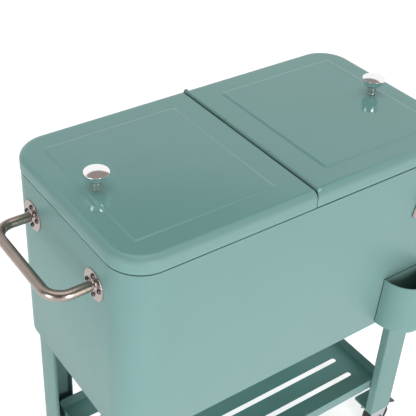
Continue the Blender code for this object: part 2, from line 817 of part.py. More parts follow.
def make_caster_mount(word, x, y):
    """A plate under the leg, a raceway and a king pin whose head is under the fork."""
    top = LEG_BOTTOM - GAP
    outline = rounded(-0.026, 0.026, -0.026, 0.026, [0.006] * 4)
    mount = plate(f"caster_{word}_mount", outline, 0.0025, ZINC)
    mount.location = (x, y, top - 0.00125)
    pin = [
        (0.0, top - 0.0010),
        (0.0170, top - 0.0010),
        (0.0185, top - 0.0050),
        (0.0150, top - 0.0090),
        (0.0040, top - 0.0090),
        (0.0040, 0.0650),
        (0.0062, 0.0650),
        (0.0050, 0.0622),
        (0.0, 0.0622),
    ]
    king = turned(f"king_pin_{word}", pin, steps=12)
    king.location = (x, y, 0)
    join(mount, king)


def make_fork(word, x, y, braked):
    """A round crown on the king pin and two arms down to the axle."""
    crown_low, crown_high = 0.0657, 0.0711
    crown = cylinder(
        f"caster_{word}_fork", 0.0190, crown_high - crown_low, (x, y, (crown_low + crown_high) / 2), "Z", ZINC
    )
    outline = [(-0.0100, crown_high)]
    outline += [(-0.0100, 0.0500)]
    outline += arc((TRAIL, WHEEL_RADIUS), 0.0080, 190, 350, 4)
    if braked:
        outline += [(TRAIL + 0.0120, 0.0500)]
        outline += arc(PEDAL_PIVOT, 0.0045, -30, 90, 3)
        outline += [(0.0130, crown_high)]
    else:
        outline += [(TRAIL + 0.0040, 0.0560), (0.0130, crown_high)]
    for end in (-1, 1):
        arm = plate(f"arm_{word}_{end}", outline, ARM_SHEET)
        arm.rotation_euler = (math.pi / 2, 0, 0)
        arm.location = (x, y + end * ARM_Y, 0)
        join(crown, arm)
    cut(crown, cylinder(f"crown_bore_{word}", 0.0045, 0.020, (x, y, 0.068), segments=12))
    cut(crown, cylinder(f"axle_bore_{word}", 0.0033, 0.060, (x + TRAIL, y, WHEEL_RADIUS), "Y", segments=12))
    if braked:
        pivot = (x + PEDAL_PIVOT[0], y, PEDAL_PIVOT[1])
        cut(crown, cylinder(f"pedal_bore_{word}", 0.0023, 0.060, pivot, "Y", segments=12))
    return crown


def make_pedal(word, x, y):
    """A foot lever on a pin through the arms, which presses down on the tyre."""
    pivot = Vector((x + PEDAL_PIVOT[0], y, PEDAL_PIVOT[1]))
    pedal = cylinder(f"caster_{word}_pedal", 0.0020, 0.0364, pivot, "Y", BLACK, 12)
    outline = [
        (-0.0020, 0.0010),
        (-0.0020, -0.0020),
        (0.0030, -0.0034),
        (0.0320, -0.0150),
        (0.0330, -0.0115),
        (0.0060, 0.0018),
    ]
    lever = plate(f"lever_{word}", outline, 0.0270)
    lever.rotation_euler = (math.pi / 2, 0, 0)
    lever.location = pivot
    join(pedal, lever)
    return pedal


# Assembly


def main():
    body_shell = make_body_shell()
    base_pan = make_base_pan()
    inner_tub = make_inner_tub()
    foam_core = make_foam_core()
    make_drain((base_pan, inner_tub, foam_core))
    make_centre_bar()
    make_hinge()
    make_lid("left", -1)
    make_lid("right", 1)
    make_handle("left", -1)
    make_handle("right", 1)
    make_opener(body_shell)
    make_catcher()
    for end, side_x in (("left", -1), ("right", 1)):
        for place, side_y in (("front", -1), ("back", 1)):
            make_leg(f"{place}_{end}", side_x, side_y)
            make_caster(f"{place}_{end}", side_x, side_y, braked=side_x > 0)
    make_shelf()


main()
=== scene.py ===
"""The looks of the patio cooler on wheels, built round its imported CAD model.

Metres, +Z up. Shapes are worked out about the body's centre line, which stands at y = BODY_Y.
"""

import math

import bmesh
import bpy
from mathutils import Matrix, Vector


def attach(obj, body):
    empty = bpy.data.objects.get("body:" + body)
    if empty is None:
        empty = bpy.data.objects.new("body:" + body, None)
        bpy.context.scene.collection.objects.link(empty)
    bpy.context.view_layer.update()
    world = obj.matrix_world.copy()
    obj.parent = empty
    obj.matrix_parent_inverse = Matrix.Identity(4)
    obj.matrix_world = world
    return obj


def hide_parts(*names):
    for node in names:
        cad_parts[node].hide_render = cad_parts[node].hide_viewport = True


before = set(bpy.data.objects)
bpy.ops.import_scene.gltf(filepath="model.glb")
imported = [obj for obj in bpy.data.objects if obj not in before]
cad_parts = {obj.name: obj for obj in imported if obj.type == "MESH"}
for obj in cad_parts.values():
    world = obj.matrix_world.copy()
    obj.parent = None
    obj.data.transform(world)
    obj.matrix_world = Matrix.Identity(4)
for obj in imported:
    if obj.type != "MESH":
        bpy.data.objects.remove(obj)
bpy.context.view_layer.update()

# Sizes: those of the CAD, and a few that only the looks need
BODY_Y = 0.0315
HALF_LENGTH = 0.365
HALF_WIDTH = 0.197
LID_TOP = 0.810
PLAN_RADIUS = 0.063
GAP = 0.0003
SHEET = 0.0012
EDGE_RADIUS = 0.013
SKIRT = 0.030
LID_HEM = 0.0007
LEFT_LID_EDGE = -0.0045
RIGHT_LID_EDGE = 0.0075
PANEL_RISE = 0.0015
PANEL_SLOPE = 0.005
PANEL_END_MARGIN = 0.0425
PANEL_SIDE_MARGIN = 0.047
PANEL_HINGE_MARGIN = 0.0515
PANEL_CORNER = 0.0045
LINER_BOTTOM = 0.022
LINER_TOP = 0.0040
OPEN_BELOW = LINER_BOTTOM + 0.0005
GASKET_BOTTOM = 0.0280
HINGE_X = 0.0025
HINGE_DROP = 0.001
ROD_RADIUS = 0.0025
KNUCKLE_RADIUS = 0.0045
KNUCKLE_BORE = 0.0028
BARREL_HALF = 0.191
LUG_Y = 0.0625
LUG_HALF = 0.0017
KNUCKLE_CLEARANCE = 0.0005
BAR_HALF = 0.022
BAR_DEPTH = 0.016
BODY_INSET = 0.001
BODY_TOP = LID_TOP - SKIRT - 0.0029
BODY_BOTTOM = LID_TOP - 0.392
TOP_FLANGE = 0.015
RIM_TOP = LID_TOP - GASKET_BOTTOM - GAP
RIM_INSET = 0.009
TUB_WALL = 0.0025
TUB_FLOOR = LID_TOP - 0.363
MOUTH_INSET = 0.030
DRAIN = (0.250, 0.080)
HANDLE_REACH = 0.437
HANDLE_Y = 0.105
HANDLE_SHIFT = 0.007
HANDLE_DROP = 0.1005
HANDLE_TUBE = 0.009
HANDLE_BEND = 0.033
FLANGE_RADIUS = 0.0285
FLANGE_SHEET = 0.0014
SCREW_CIRCLE = 0.0185
FLANGE_SCREW = (0.0048, 0.0034)
OPENER_SCREW = (0.0038, 0.0022)
KNOB_X = 0.300
KNOB_RADIUS = 0.0213
KNOB_HEIGHT = 0.0335
KNOB_SEAT = 0.0165
KNOB_BOWL = 0.0150
CATCHER_X = 0.253
CATCHER_RIM = (0.049, 0.057)
CATCHER_BASE = (0.054, 0.063)
CATCHER_TOP = LID_TOP - 0.279
CATCHER_BOTTOM = LID_TOP - 0.388
CATCHER_GAP = 0.0019
OPENER_X = 0.267
OPENER_HEIGHT = 0.076
OPENER_TOP_HALF = 0.013
OPENER_BASE_HALF = 0.024
OPENER_SHEET = 0.0035
OPENER_CENTRE = LID_TOP - 0.112
LEG_X = 0.342
LEG_Y = 0.177
LEG_FACE = 0.059
LEG_LIP = 0.018
LEG_SIDE_LIP = 0.006
LEG_SHEET = 0.0016
LEG_BOTTOM = 0.081
SHELF_TOP = 0.150
SHELF_WALL = 0.025
WHEEL_RADIUS = 0.031
WHEEL_HALF = 0.012
TRAIL = 0.022
ARM_Y = 0.0165
ARM_SHEET = 0.0022
CASTER_AXIS = (LEG_X - LEG_FACE / 2, LEG_Y - LEG_FACE / 2)
PEDAL_PIVOT = (TRAIL + 0.012, 0.0680)

# Fineness of round shapes
CORNER_STEPS = 28
FILLET_STEPS = 8
TURN_STEPS = 72
SHARP_ANGLE = 32

# Colours, linear
# Lit and shaded copies of the one enamel colour: painted light on level faces, painted shade on walls
LIT_TOP_COLOUR = (0.148, 0.321, 0.303)
SHADED_WALL_COLOUR = (0.152, 0.266, 0.254)
STEEL_COLOUR = (0.36, 0.30, 0.29)
TUBE_COLOUR = (0.34, 0.285, 0.25)
WHITE = (1, 1, 1)

# Studio: a direction is an azimuth, from straight behind the cooler towards +X, and an elevation
ROOM = (0.15, 0.12, 0.10)
ROOM_TOWARD = (-145, 0)
CEILING = (0.30, 0.26, 0.24)
CEILING_TOWARD = (36, 54)
OVERHEAD = (1.7, 1.7, 1.7)
OVERHEAD_TOWARD = (0, 90)
FLOOR_SIZE = 14
FLOOR_COLOUR = (0.72, 0.72, 0.72)
FLOOR_GLOW = 0.50
SOFTBOX_SIZE = (1.0, 1.6)
SOFTBOX_DISTANCE = 3.0
SOFTBOX_TARGET = (0, 0, 0.6)
FRONT_TOWARD = (185, 7)
FRONT_POWER = 66
LEFT_TOWARD = (258, 6)
LEFT_POWER = 31
LEFT_COLOUR = (0.84, 0.99, 1.0)

# Camera, angles in degrees
CAMERA_PLACE = (-0.87481, -1.0374 + BODY_Y, 0.83476 + LID_TOP)
CAMERA_AZIMUTH = 35.068
CAMERA_PITCH = 35.754
CAMERA_ROLL = -2.020
SENSOR_WIDTH = 36
LENS = 78.4463
LENS_SHIFT = (0.07846, -0.02305)


# Camera, light and floor


def direction(azimuth, elevation):
    turn, rise = math.radians(azimuth), math.radians(elevation)
    return Vector((math.sin(turn) * math.cos(rise), math.cos(turn) * math.cos(rise), math.sin(rise)))


def make_camera():
    roll = math.radians(CAMERA_ROLL)
    forward = direction(CAMERA_AZIMUTH, -CAMERA_PITCH)
    level = direction(CAMERA_AZIMUTH + 90, 0)
    drop = forward.cross(level)
    right = math.cos(roll) * level + math.sin(roll) * drop
    down = math.cos(roll) * drop - math.sin(roll) * level
    data = bpy.data.cameras.new("camera")
    data.sensor_width = SENSOR_WIDTH
    data.sensor_fit = "HORIZONTAL"
    data.lens = LENS
    data.shift_x, data.shift_y = LENS_SHIFT
    camera = bpy.data.objects.new("camera", data)
    bpy.context.scene.collection.objects.link(camera)
    turned_frame = Matrix((right, -down, -forward)).transposed().to_4x4()
    camera.matrix_world = Matrix.Translation(CAMERA_PLACE) @ turned_frame
    bpy.context.scene.camera = camera


def spread(tree, value, low, high, start=0.0, end=1.0):
    """A value taken from start..end to low..high, and held within them."""
    node = tree.nodes.new("ShaderNodeMapRange")
    node.inputs["From Min"].default_value = start
    node.inputs["From Max"].default_value = end
    node.inputs["To Min"].default_value = low
    node.inputs["To Max"].default_value = high
    tree.links.new(value, node.inputs["Value"])
    return node.outputs["Result"]


def mixed(tree, share, first, second):
    """A colour between first, a colour or a socket, and second, a colour."""
    node = tree.nodes.new("ShaderNodeMixRGB")
    tree.links.new(share, node.inputs["Fac"])
    if isinstance(first, tuple):
        node.inputs["Color1"].default_value = (*first, 1)
    else:
        tree.links.new(first, node.inputs["Color1"])
    node.inputs["Color2"].default_value = (*second, 1)
    return node.outputs["Color"]


def sky_area(tree, below, toward, edge, soft, colour):
    """Lays a round area of one colour over the sky, out to the angle whose cosine is edge."""
    nearness = tree.nodes.new("ShaderNodeVectorMath")
    nearness.operation = "DOT_PRODUCT"
    nearness.inputs[1].default_value = direction(*toward)
    tree.links.new(tree.nodes["Texture Coordinate"].outputs["Generated"], nearness.inputs[0])
    share = spread(tree, nearness.outputs["Value"], 0, 1, edge - soft, edge + soft)
    return mixed(tree, share, below, colour)


def make_world():
    """A white sweep, a dim room in front of it, a dark gap high behind and a soft light overhead."""
    world = bpy.data.worlds.new("studio")
    bpy.context.scene.world = world
    world.use_nodes = True
    tree = world.node_tree
    tree.nodes.new("ShaderNodeTexCoord")
    sky = sky_area(tree, WHITE, ROOM_TOWARD, 0.1, 0.25, ROOM)
    sky = sky_area(tree, sky, CEILING_TOWARD, 0.945, 0.012, CEILING)
    sky = sky_area(tree, sky, OVERHEAD_TOWARD, 0.90, 0.02, OVERHEAD)
    tree.links.new(sky, tree.nodes["Background"].inputs["Color"])


def softbox(name, toward, power, colour):
    """A tall area light that faces the cooler."""
    data = bpy.data.lights.new(name, "AREA")
    data.shape = "RECTANGLE"
    data.size, data.size_y = SOFTBOX_SIZE
    data.energy = power
    data.color = colour
    light = bpy.data.objects.new(name, data)
    out = direction(*toward)
    light.location = Vector(SOFTBOX_TARGET) + SOFTBOX_DISTANCE * out
    light.rotation_euler = (-out).to_track_quat("-Z", "Y").to_euler()
    bpy.context.scene.collection.objects.link(light)


def make_stage():
    bm = bmesh.new()
    bmesh.ops.create_grid(bm, x_segments=8, y_segments=8, size=FLOOR_SIZE)
    floor = bpy.data.objects.new("floor", mesh_of("floor", bm))
    bpy.context.scene.collection.objects.link(floor)
    look = new_material("studio_floor", FLOOR_COLOUR, 0.65)
    shader = look.node_tree.nodes["Principled BSDF"]
    shader.inputs["Emission Color"].default_value = (*WHITE, 1)
    shader.inputs["Emission Strength"].default_value = FLOOR_GLOW
    bump(look, noise(look, 60, 2), 0.05, 0.0005)
    floor.data.materials.append(look)
    softbox("front_softbox", FRONT_TOWARD, FRONT_POWER, WHITE)
    softbox("left_softbox", LEFT_TOWARD, LEFT_POWER, LEFT_COLOUR)
    bpy.context.scene.view_settings.view_transform = "Standard"


# Materials

NOISE_SPAN = (0.3, 0.7)  # most of a noise texture's values lie in here


def new_material(name, colour, roughness, metallic=0.0):
    made = bpy.data.materials.new(name)
    made.use_nodes = True
    shader = made.node_tree.nodes["Principled BSDF"]
    shader.inputs["Base Color"].default_value = (*colour, 1)
    shader.inputs["Roughness"].default_value = roughness
    shader.inputs["Metallic"].default_value = metallic
    return made


def noise(look, scale, detail, stretch=(1, 1, 1), roughness=0.5):
    """A noise texture in the piece's own coordinates; scale is in features per metre."""
    tree = look.node_tree
    coordinates = tree.nodes.new("ShaderNodeTexCoord")
    mapping = tree.nodes.new("ShaderNodeMapping")
    mapping.inputs["Scale"].default_value = stretch
    texture = tree.nodes.new("ShaderNodeTexNoise")
    texture.inputs["Scale"].default_value = scale
    texture.inputs["Detail"].default_value = detail
    texture.inputs["Roughness"].default_value = roughness
    tree.links.new(coordinates.outputs["Object"], mapping.inputs[0])
    tree.links.new(mapping.outputs[0], texture.inputs["Vector"])
    return texture.outputs["Fac"]


def vary_colour(look, factor, dark, light):
    tree = look.node_tree
    varied = mixed(tree, spread(tree, factor, 0, 1, *NOISE_SPAN), dark, light)
    tree.links.new(varied, tree.nodes["Principled BSDF"].inputs["Base Color"])


def vary_roughness(look, factor, low, high):
    tree = look.node_tree
    varied = spread(tree, factor, low, high, *NOISE_SPAN)
    tree.links.new(varied, tree.nodes["Principled BSDF"].inputs["Roughness"])


def bump(look, height, strength, distance):
    tree = look.node_tree
    node = tree.nodes.new("ShaderNodeBump")
    node.inputs["Strength"].default_value = strength
    node.inputs["Distance"].default_value = distance
    tree.links.new(height, node.inputs["Height"])
    tree.links.new(node.outputs["Normal"], tree.nodes["Principled BSDF"].inputs["Normal"])


def scaled(colour, factor):
    return tuple(channel * factor for channel in colour)


def by_slope(look, flat, upright):
    """A value that goes from upright on walls to flat on level faces."""
    tree = look.node_tree
    coordinates = tree.nodes.new("ShaderNodeTexCoord")
    split = tree.nodes.new("ShaderNodeSeparateXYZ")
    tree.links.new(coordinates.outputs["Normal"], split.inputs[0])
    return spread(tree, split.outputs["Z"], upright, flat, 0.62, 0.97)


def paint_look():
    """Baked enamel: it has flowed smooth on level faces and kept a faint orange peel on walls. Its colour
    is painted light and shade: lighter and greener on level faces, darker and greyer on walls.
    """
    look = new_material("teal_enamel", SHADED_WALL_COLOUR, 0.3)
    tree = look.node_tree
    shader = tree.nodes["Principled BSDF"]
    tint = tree.nodes.new("ShaderNodeVectorMath")
    tint.operation = "SCALE"
    # Painted light and shade: the colour goes from the shaded wall copy to the lit top copy as faces turn
    # level
    tree.links.new(mixed(tree, by_slope(look, 1, 0), SHADED_WALL_COLOUR, LIT_TOP_COLOUR), tint.inputs[0])
    tree.links.new(spread(tree, noise(look, 9, 2), 0.975, 1.025), tint.inputs["Scale"])
    tree.links.new(tint.outputs[0], shader.inputs["Base Color"])
    peel = tree.nodes.new("ShaderNodeMath")
    peel.operation = "MULTIPLY_ADD"
    tree.links.new(noise(look, 40, 3), peel.inputs[0])
    peel.inputs[1].default_value = 0.06
    tree.links.new(by_slope(look, 0.06, 0.34), peel.inputs[2])
    tree.links.new(peel.outputs[0], shader.inputs["Roughness"])
    tree.links.new(by_slope(look, 0.50, 0.14), shader.inputs["Specular IOR Level"])
    bump(look, noise(look, 260, 1), 0.03, 0.0003)
    return look


def brushed_look(name, stretch, colour=STEEL_COLOUR, low=0.15, high=0.26):
    look = new_material(name, colour, 0.25, 1.0)
    streaks = noise(look, 60, 4, stretch, 0.7)
    vary_colour(look, noise(look, 30, 3), scaled(colour, 0.93), scaled(colour, 1.07))
    vary_roughness(look, streaks, low, high)
    bump(look, streaks, 0.10, 0.0002)
    return look


def chrome_look():
    look = new_material("polished_chrome", (0.93, 0.92, 0.92), 0.03, 1.0)
    vary_roughness(look, noise(look, 220, 3), 0.02, 0.05)
    return look


def zinc_look():
    look = new_material("zinc_plate", (0.52, 0.53, 0.55), 0.3, 1.0)
    vary_colour(look, noise(look, 160, 2), (0.44, 0.45, 0.47), (0.58, 0.59, 0.61))
    vary_roughness(look, noise(look, 90, 4), 0.24, 0.42)
    bump(look, noise(look, 500, 2), 0.06, 0.0002)
    return look


def moulded_look(name, colour, low, high, grain, strength):
    look = new_material(name, colour, low)
    vary_colour(look, noise(look, 25, 3), scaled(colour, 0.95), scaled(colour, 1.05))
    vary_roughness(look, noise(look, 60, 3), low, high)
    bump(look, noise(look, grain, 2), strength, 0.0003)
    return look


PAINT = paint_look()
STEEL_Y = brushed_look("brushed_steel_tube", (6, 0.4, 6), TUBE_COLOUR, 0.25, 0.34)
# Screw steel coloured near black: painted reflection of the dark surroundings seen in the screw heads
PAINTED_DARK_SCREW_STEEL = brushed_look("screw_steel_painted_dark", (1, 1, 1), (0.10, 0.085, 0.08), 0.12, 0.20)
STEEL = brushed_look("brushed_steel", (1, 1, 8))
SATIN_STEEL = brushed_look("satin_steel", (1, 1, 8), (0.66, 0.66, 0.65), 0.30, 0.38)
CHROME = chrome_look()
ZINC = zinc_look()
LINER = moulded_look("liner_plastic", (0.74, 0.75, 0.74), 0.35, 0.48, 700, 0.10)
FOAM = moulded_look("foam", (0.80, 0.70, 0.45), 0.85, 0.95, 300, 0.8)
SEAL = moulded_look("seal_rubber", (0.03, 0.03, 0.03), 0.55, 0.75, 600, 0.25)
TYRE = moulded_look("tyre_rubber", (0.025, 0.025, 0.025), 0.55, 0.80, 500, 0.35)
BLACK = moulded_look("black_plastic", (0.018, 0.018, 0.018), 0.35, 0.50, 900, 0.20)


# Shape helpers

SHORTEST = 0.00005  # a rounding below this is left out


def mesh_of(name, bm):
    mesh = bpy.data.meshes.new(name)
    bm.to_mesh(mesh)
    bm.free()
    return mesh


def piece(name, mesh, look, body, replaced=(), place=(0, 0, 0), turn=(0, 0, 0), sharp=30):
    """A piece of the cooler at a place given about the body's centre line."""
    obj = bpy.data.objects.new(name, mesh)
    bpy.context.scene.collection.objects.link(obj)
    obj.location = Vector(place) + Vector((0, BODY_Y, 0))
    obj.rotation_euler = turn
    mesh.materials.append(look)
    mesh.shade_smooth()
    mesh.set_sharp_from_angle(angle=math.radians(sharp))
    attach(obj, body)
    if replaced:
        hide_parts(*replaced)
    return obj


def settle(obj):
    """Makes the shape with its modifiers the piece's own mesh, and marks that mesh's sharp edges."""
    bpy.context.view_layer.update()
    graph = bpy.context.evaluated_depsgraph_get()
    old = obj.data
    made = bpy.data.meshes.new_from_object(obj.evaluated_get(graph))
    obj.modifiers.clear()
    obj.data = made
    bpy.data.meshes.remove(old)
    made.name = obj.name
    made.shade_smooth()
    made.set_sharp_from_angle(angle=math.radians(SHARP_ANGLE))
    return obj


def solidify(obj, thickness):
    modifier = obj.modifiers.new("sheet", "SOLIDIFY")
    modifier.thickness = thickness
    modifier.offset = -1
    modifier.use_even_offset = True
    return settle(obj)


def soften(obj, width):
    modifier = obj.modifiers.new("edges", "BEVEL")
    modifier.width = width
    modifier.segments = 2
    modifier.limit_method = "ANGLE"
    modifier.angle_limit = math.radians(40)


def arc(centre, radius, start, end, steps):
    turns = [math.radians(start + (end - start) * i / steps) for i in range(steps + 1)]
    return [(centre[0] + radius * math.cos(t), centre[1] + radius * math.sin(t)) for t in turns]


def rounded(x0, x1, y0, y1, radii, steps):
    """A rounded rectangle, anticlockwise: radii and steps for its +x+y, -x+y, -x-y, +x-y corners."""
    corners = ((x1, y1, -1, -1), (x0, y1, 1, -1), (x0, y0, 1, 1), (x1, y0, -1, 1))
    points = []
    for index, ((x, y, side_x, side_y), radius, count) in enumerate(zip(corners, radii, steps)):
        centre = (x + side_x * radius, y + side_y * radius)
        points += arc(centre, radius, 90 * index, 90 * index + 90, count)
    return points


def body_outline(inset):
    x, y = HALF_LENGTH - inset, HALF_WIDTH - inset
    return rounded(-x, x, -y, y, [PLAN_RADIUS - inset] * 4, [CORNER_STEPS] * 4)


def lid_outline(side, inset, hinge_inset, hinge_corner=0.0012):
    y = HALF_WIDTH - inset
    far, near, few = PLAN_RADIUS - inset, hinge_corner, 4
    if side < 0:
        x0, x1 = inset - HALF_LENGTH, LEFT_LID_EDGE - hinge_inset
        return rounded(x0, x1, -y, y, (near, far, far, near), (few, CORNER_STEPS, CORNER_STEPS, few))
    x0, x1 = RIGHT_LID_EDGE + hinge_inset, HALF_LENGTH - inset
    return rounded(x0, x1, -y, y, (far, near, near, far), (CORNER_STEPS, few, few, CORNER_STEPS))


def ring_of(bm, outline, height):
    return [bm.verts.new((x, y, height)) for x, y in outline]


def bridge(bm, first, second):
    count = len(first)
    for i in range(count):
        j = (i + 1) % count
        bm.faces.new((first[i], first[j], second[j], second[i]))


def loft(name, levels, start_cap=True, end_cap=True, looped=False, flip=False):
    """Skin over outlines with heights: outwards from bottom to top, into a hollow from top down."""
    bm = bmesh.new()
    rings = [ring_of(bm, outline, height) for outline, height in levels]
    for lower, upper in zip(rings, rings[1:]):
        bridge(bm, lower, upper)
    if looped:
        bridge(bm, rings[-1], rings[0])
    if start_cap and not looped:
        bm.faces.new(rings[0][::-1])
    if end_cap and not looped:
        bm.faces.new(rings[-1])
    if flip:
        bmesh.ops.reverse_faces(bm, faces=bm.faces)
    return mesh_of(name, bm)


def turned(name, profile, steps=TURN_STEPS, closed=False):
    """A turned solid about Z: the (radius, height) profile runs down its outer side."""
    bm = bmesh.new()
    points = [bm.verts.new((radius, 0, height)) for radius, height in profile]
    edges = [bm.edges.new(pair) for pair in zip(points, points[1:])]
    if closed:
        edges.append(bm.edges.new((points[-1], points[0])))
    bmesh.ops.spin(
        bm,
        geom=points + edges,
        axis=(0, 0, 1),
        angle=2 * math.pi,
        steps=steps,
        use_merge=True,
    )
    bmesh.ops.remove_doubles(bm, verts=bm.verts, dist=0.000005)
    bmesh.ops.recalc_face_normals(bm, faces=bm.faces)
    return mesh_of(name, bm)


def smooth_profile(points, rounds, steps=4):
    """A profile with its inner corners rounded: rounds holds one radius for each inner point.

    A rounding takes up at most 0.37 of a side. A point 0.3 of it further keeps the flat stretch flat.
    """
    made = [points[0]]
    for before, corner, after, radius in zip(points, points[1:], points[2:], rounds):
        here = Vector(corner)
        back, ahead = Vector(before) - here, Vector(after) - here
        reach = min(radius, back.length * 0.37, ahead.length * 0.37)
        if reach < SHORTEST:
            made.append(corner)
            continue
        start, end = here + back.normalized() * reach, here + ahead.normalized() * reach
        made.append(tuple(start + back.normalized() * reach * 0.3))
        for i in range(steps + 1):
            t = i / steps
            made.append(tuple(start * (1 - t) ** 2 + here * 2 * t * (1 - t) + end * t**2))
        made.append(tuple(end + ahead.normalized() * reach * 0.3))
    made.append(points[-1])
    return made


def block(name, low, high):
    low, high = Vector(low), Vector(high)
    bm = bmesh.new()
    size = Matrix.Diagonal((*(high - low), 1))
    bmesh.ops.create_cube(bm, size=1, matrix=Matrix.Translation((low + high) / 2) @ size)
    return mesh_of(name, bm)


def prism(name, outline, low, high, axis="Z"):
    """A flat outline pushed along an axis: the outline is in XY, or for Y in XZ, or for X in YZ."""
    bm = bmesh.new()
    index = "XYZ".index(axis)
    rings = []
    for level in (low, high):
        places = [list(point) for point in outline]
        for place in places:
            place.insert(index, level)
        rings.append([bm.verts.new(place) for place in places])
    bridge(bm, *rings)
    bm.faces.new(rings[0][::-1])
    bm.faces.new(rings[1])
    bmesh.ops.recalc_face_normals(bm, faces=bm.faces)
    return mesh_of(name, bm)


def tube_mesh(name, points, radius, sides):
    """A round tube swept along points, with its rings kept square to the path."""
    bm = bmesh.new()
    places = [Vector(p) for p in points]
    rings = []
    normal = (places[1] - places[0]).orthogonal().normalized()
    for before, here, after in zip(places[:1] + places, places, places[1:] + places[-1:]):
        along = (after - before).normalized()
        normal = (normal - along * normal.dot(along)).normalized()
        other = along.cross(normal)
        ring = []
        for k in range(sides):
            turn = 2 * math.pi * k / sides
            ring.append(bm.verts.new(here + radius * (math.cos(turn) * normal + math.sin(turn) * other)))
        rings.append(ring)
    for first, second in zip(rings, rings[1:]):
        bridge(bm, first, second)
    bm.faces.new(rings[0][::-1])
    bm.faces.new(rings[-1])
    bmesh.ops.recalc_face_normals(bm, faces=bm.faces)
    return mesh_of(name, bm)


def merged(name, *meshes):
    """One mesh from several, each given as a mesh or as (mesh, matrix)."""
    bm = bmesh.new()
    for item in meshes:
        mesh, matrix = item if isinstance(item, tuple) else (item, None)
        if matrix is not None:
            mesh.transform(matrix)
        bm.from_mesh(mesh)
        bpy.data.meshes.remove(mesh)
    return mesh_of(name, bm)


def mirrored(profile):
    """The other half of a profile that is symmetric about height 0, running on from its end."""
    return [(radius, -height) for radius, height in profile[::-1]]


def dome(radius, height, steps):
    turns = [math.pi / 2 * i / steps for i in range(steps + 1)]
    return [(radius * math.sin(t), height * math.cos(t)) for t in turns]


def hem_steps(low, hem):
    """The rounded lower edge of a sheet: insets with their heights."""
    return [(hem, low), (hem * 0.3, low + hem * 0.3), (0.0, low + hem)]


# Body


def make_body():
    fold = 0.0004
    round_top = [
        (body_outline(BODY_INSET + fold * (1 - math.cos(t))), BODY_TOP - fold * (1 - math.sin(t)))
        for t in (math.radians(22.5 * i) for i in range(5))
    ]
    levels = [
        *((body_outline(BODY_INSET + inset), height) for inset, height in hem_steps(BODY_BOTTOM, 0.0008)),
        *round_top,
        (body_outline(TOP_FLANGE), BODY_TOP),
    ]
    mesh = loft("body_panel", levels, start_cap=False, end_cap=False)
    solidify(piece("body_panel", mesh, PAINT, "body", ["body_shell"]), SHEET)
    inside, low = BODY_INSET + SHEET, BODY_BOTTOM + GAP
    levels = [
        (body_outline(inside + GAP), low + 0.0137),
        (body_outline(inside + GAP), low + 0.0030),
        (body_outline(inside + 0.0012), low + 0.0009),
        (body_outline(inside + 0.0033), low),
    ]
    mesh = loft("under_pan", levels, start_cap=False, flip=True)
    solidify(piece("under_pan", mesh, PAINT, "body", ["base_pan"]), SHEET)


def make_tub():
    draft, bend_width, bend_height, steps = 0.0045, 0.022, 0.024, 7
    levels = [
        (body_outline(RIM_INSET), RIM_TOP),
        (body_outline(MOUTH_INSET - 0.001), RIM_TOP),
        (body_outline(MOUTH_INSET), RIM_TOP - 0.0004),
        (body_outline(MOUTH_INSET + 0.0008), RIM_TOP - 0.0012),
        (body_outline(MOUTH_INSET + 0.0010), RIM_TOP - 0.0024),
    ]
    for i in range(steps + 1):
        turn = math.pi / 2 * i / steps
        inset = MOUTH_INSET + draft + bend_width * (1 - math.cos(turn))
        levels.append((body_outline(inset), TUB_FLOOR + bend_height * (1 - math.sin(turn))))
    mesh = loft("tub", levels, start_cap=False)
    solidify(piece("tub", mesh, LINER, "body", ["inner_tub"]), TUB_WALL)


def make_drain():
    bore, pipe, collar = 0.0065, 0.0090, 0.0160
    low, seat = BODY_BOTTOM - 0.030, TUB_FLOOR + GAP
    spout = [
        (bore, seat + 0.0020),
        (collar - 0.0012, seat + 0.0020),
        (collar, seat + 0.0004),
        (collar, seat),
        (pipe, seat),
        (pipe, low),
        (bore, low),
    ]
    place = (*DRAIN, 0)
    mesh = turned("drain_pipe", spout, 48, closed=True)
    piece("drain_pipe", mesh, BLACK, "body", ["drain_spout"], place)
    nut = prism("drain_ring_nut", arc((0, 0), 0.0155, 0, 300, 5), BODY_BOTTOM - 0.006, BODY_BOTTOM - GAP)
    soften(piece("drain_ring_nut", nut, BLACK, "body", ["drain_nut"], place, sharp=20), 0.0008)
    rim, base, outer, inner, ribs = low + 0.014, low - 0.003, 0.0120, 0.0093, 18
    cap = [(0.0, base), (outer - 0.0010, base), (outer, base + 0.0010), (outer, rim - 0.0006)]
    cap += [(outer - 0.0006, rim), (inner, rim), (inner, low - GAP), (0.0, low - GAP)]
    meshes = [turned("drain_screw_cap", cap[::-1], 48)]
    for i in range(ribs):
        rib = block("rib", (outer - 0.0008, -0.0006, base + 0.001), (outer + 0.0006, 0.0006, rim - 0.001))
        meshes.append((rib, Matrix.Rotation(2 * math.pi * i / ribs, 4, "Z")))
    mesh = merged("drain_screw_cap", *meshes)
    piece("drain_screw_cap", mesh, BLACK, "drain_cap", ["drain_cap"], place)


# Lids and hinge


def panel_outline(side, inset):
    near, far = PANEL_HINGE_MARGIN + inset, HALF_LENGTH - PANEL_END_MARGIN - inset
    y = HALF_WIDTH - PANEL_SIDE_MARGIN - inset
    x0, x1 = sorted((side * near, side * far))
    return rounded(x0, x1, -y, y, [PANEL_CORNER] * 4, [6] * 4)


def skirt_bottom(side):
    """The right lid's skirt ends a little higher than the left one's."""
    return LID_TOP - SKIRT + (0.0006 if side > 0 else 0.0)


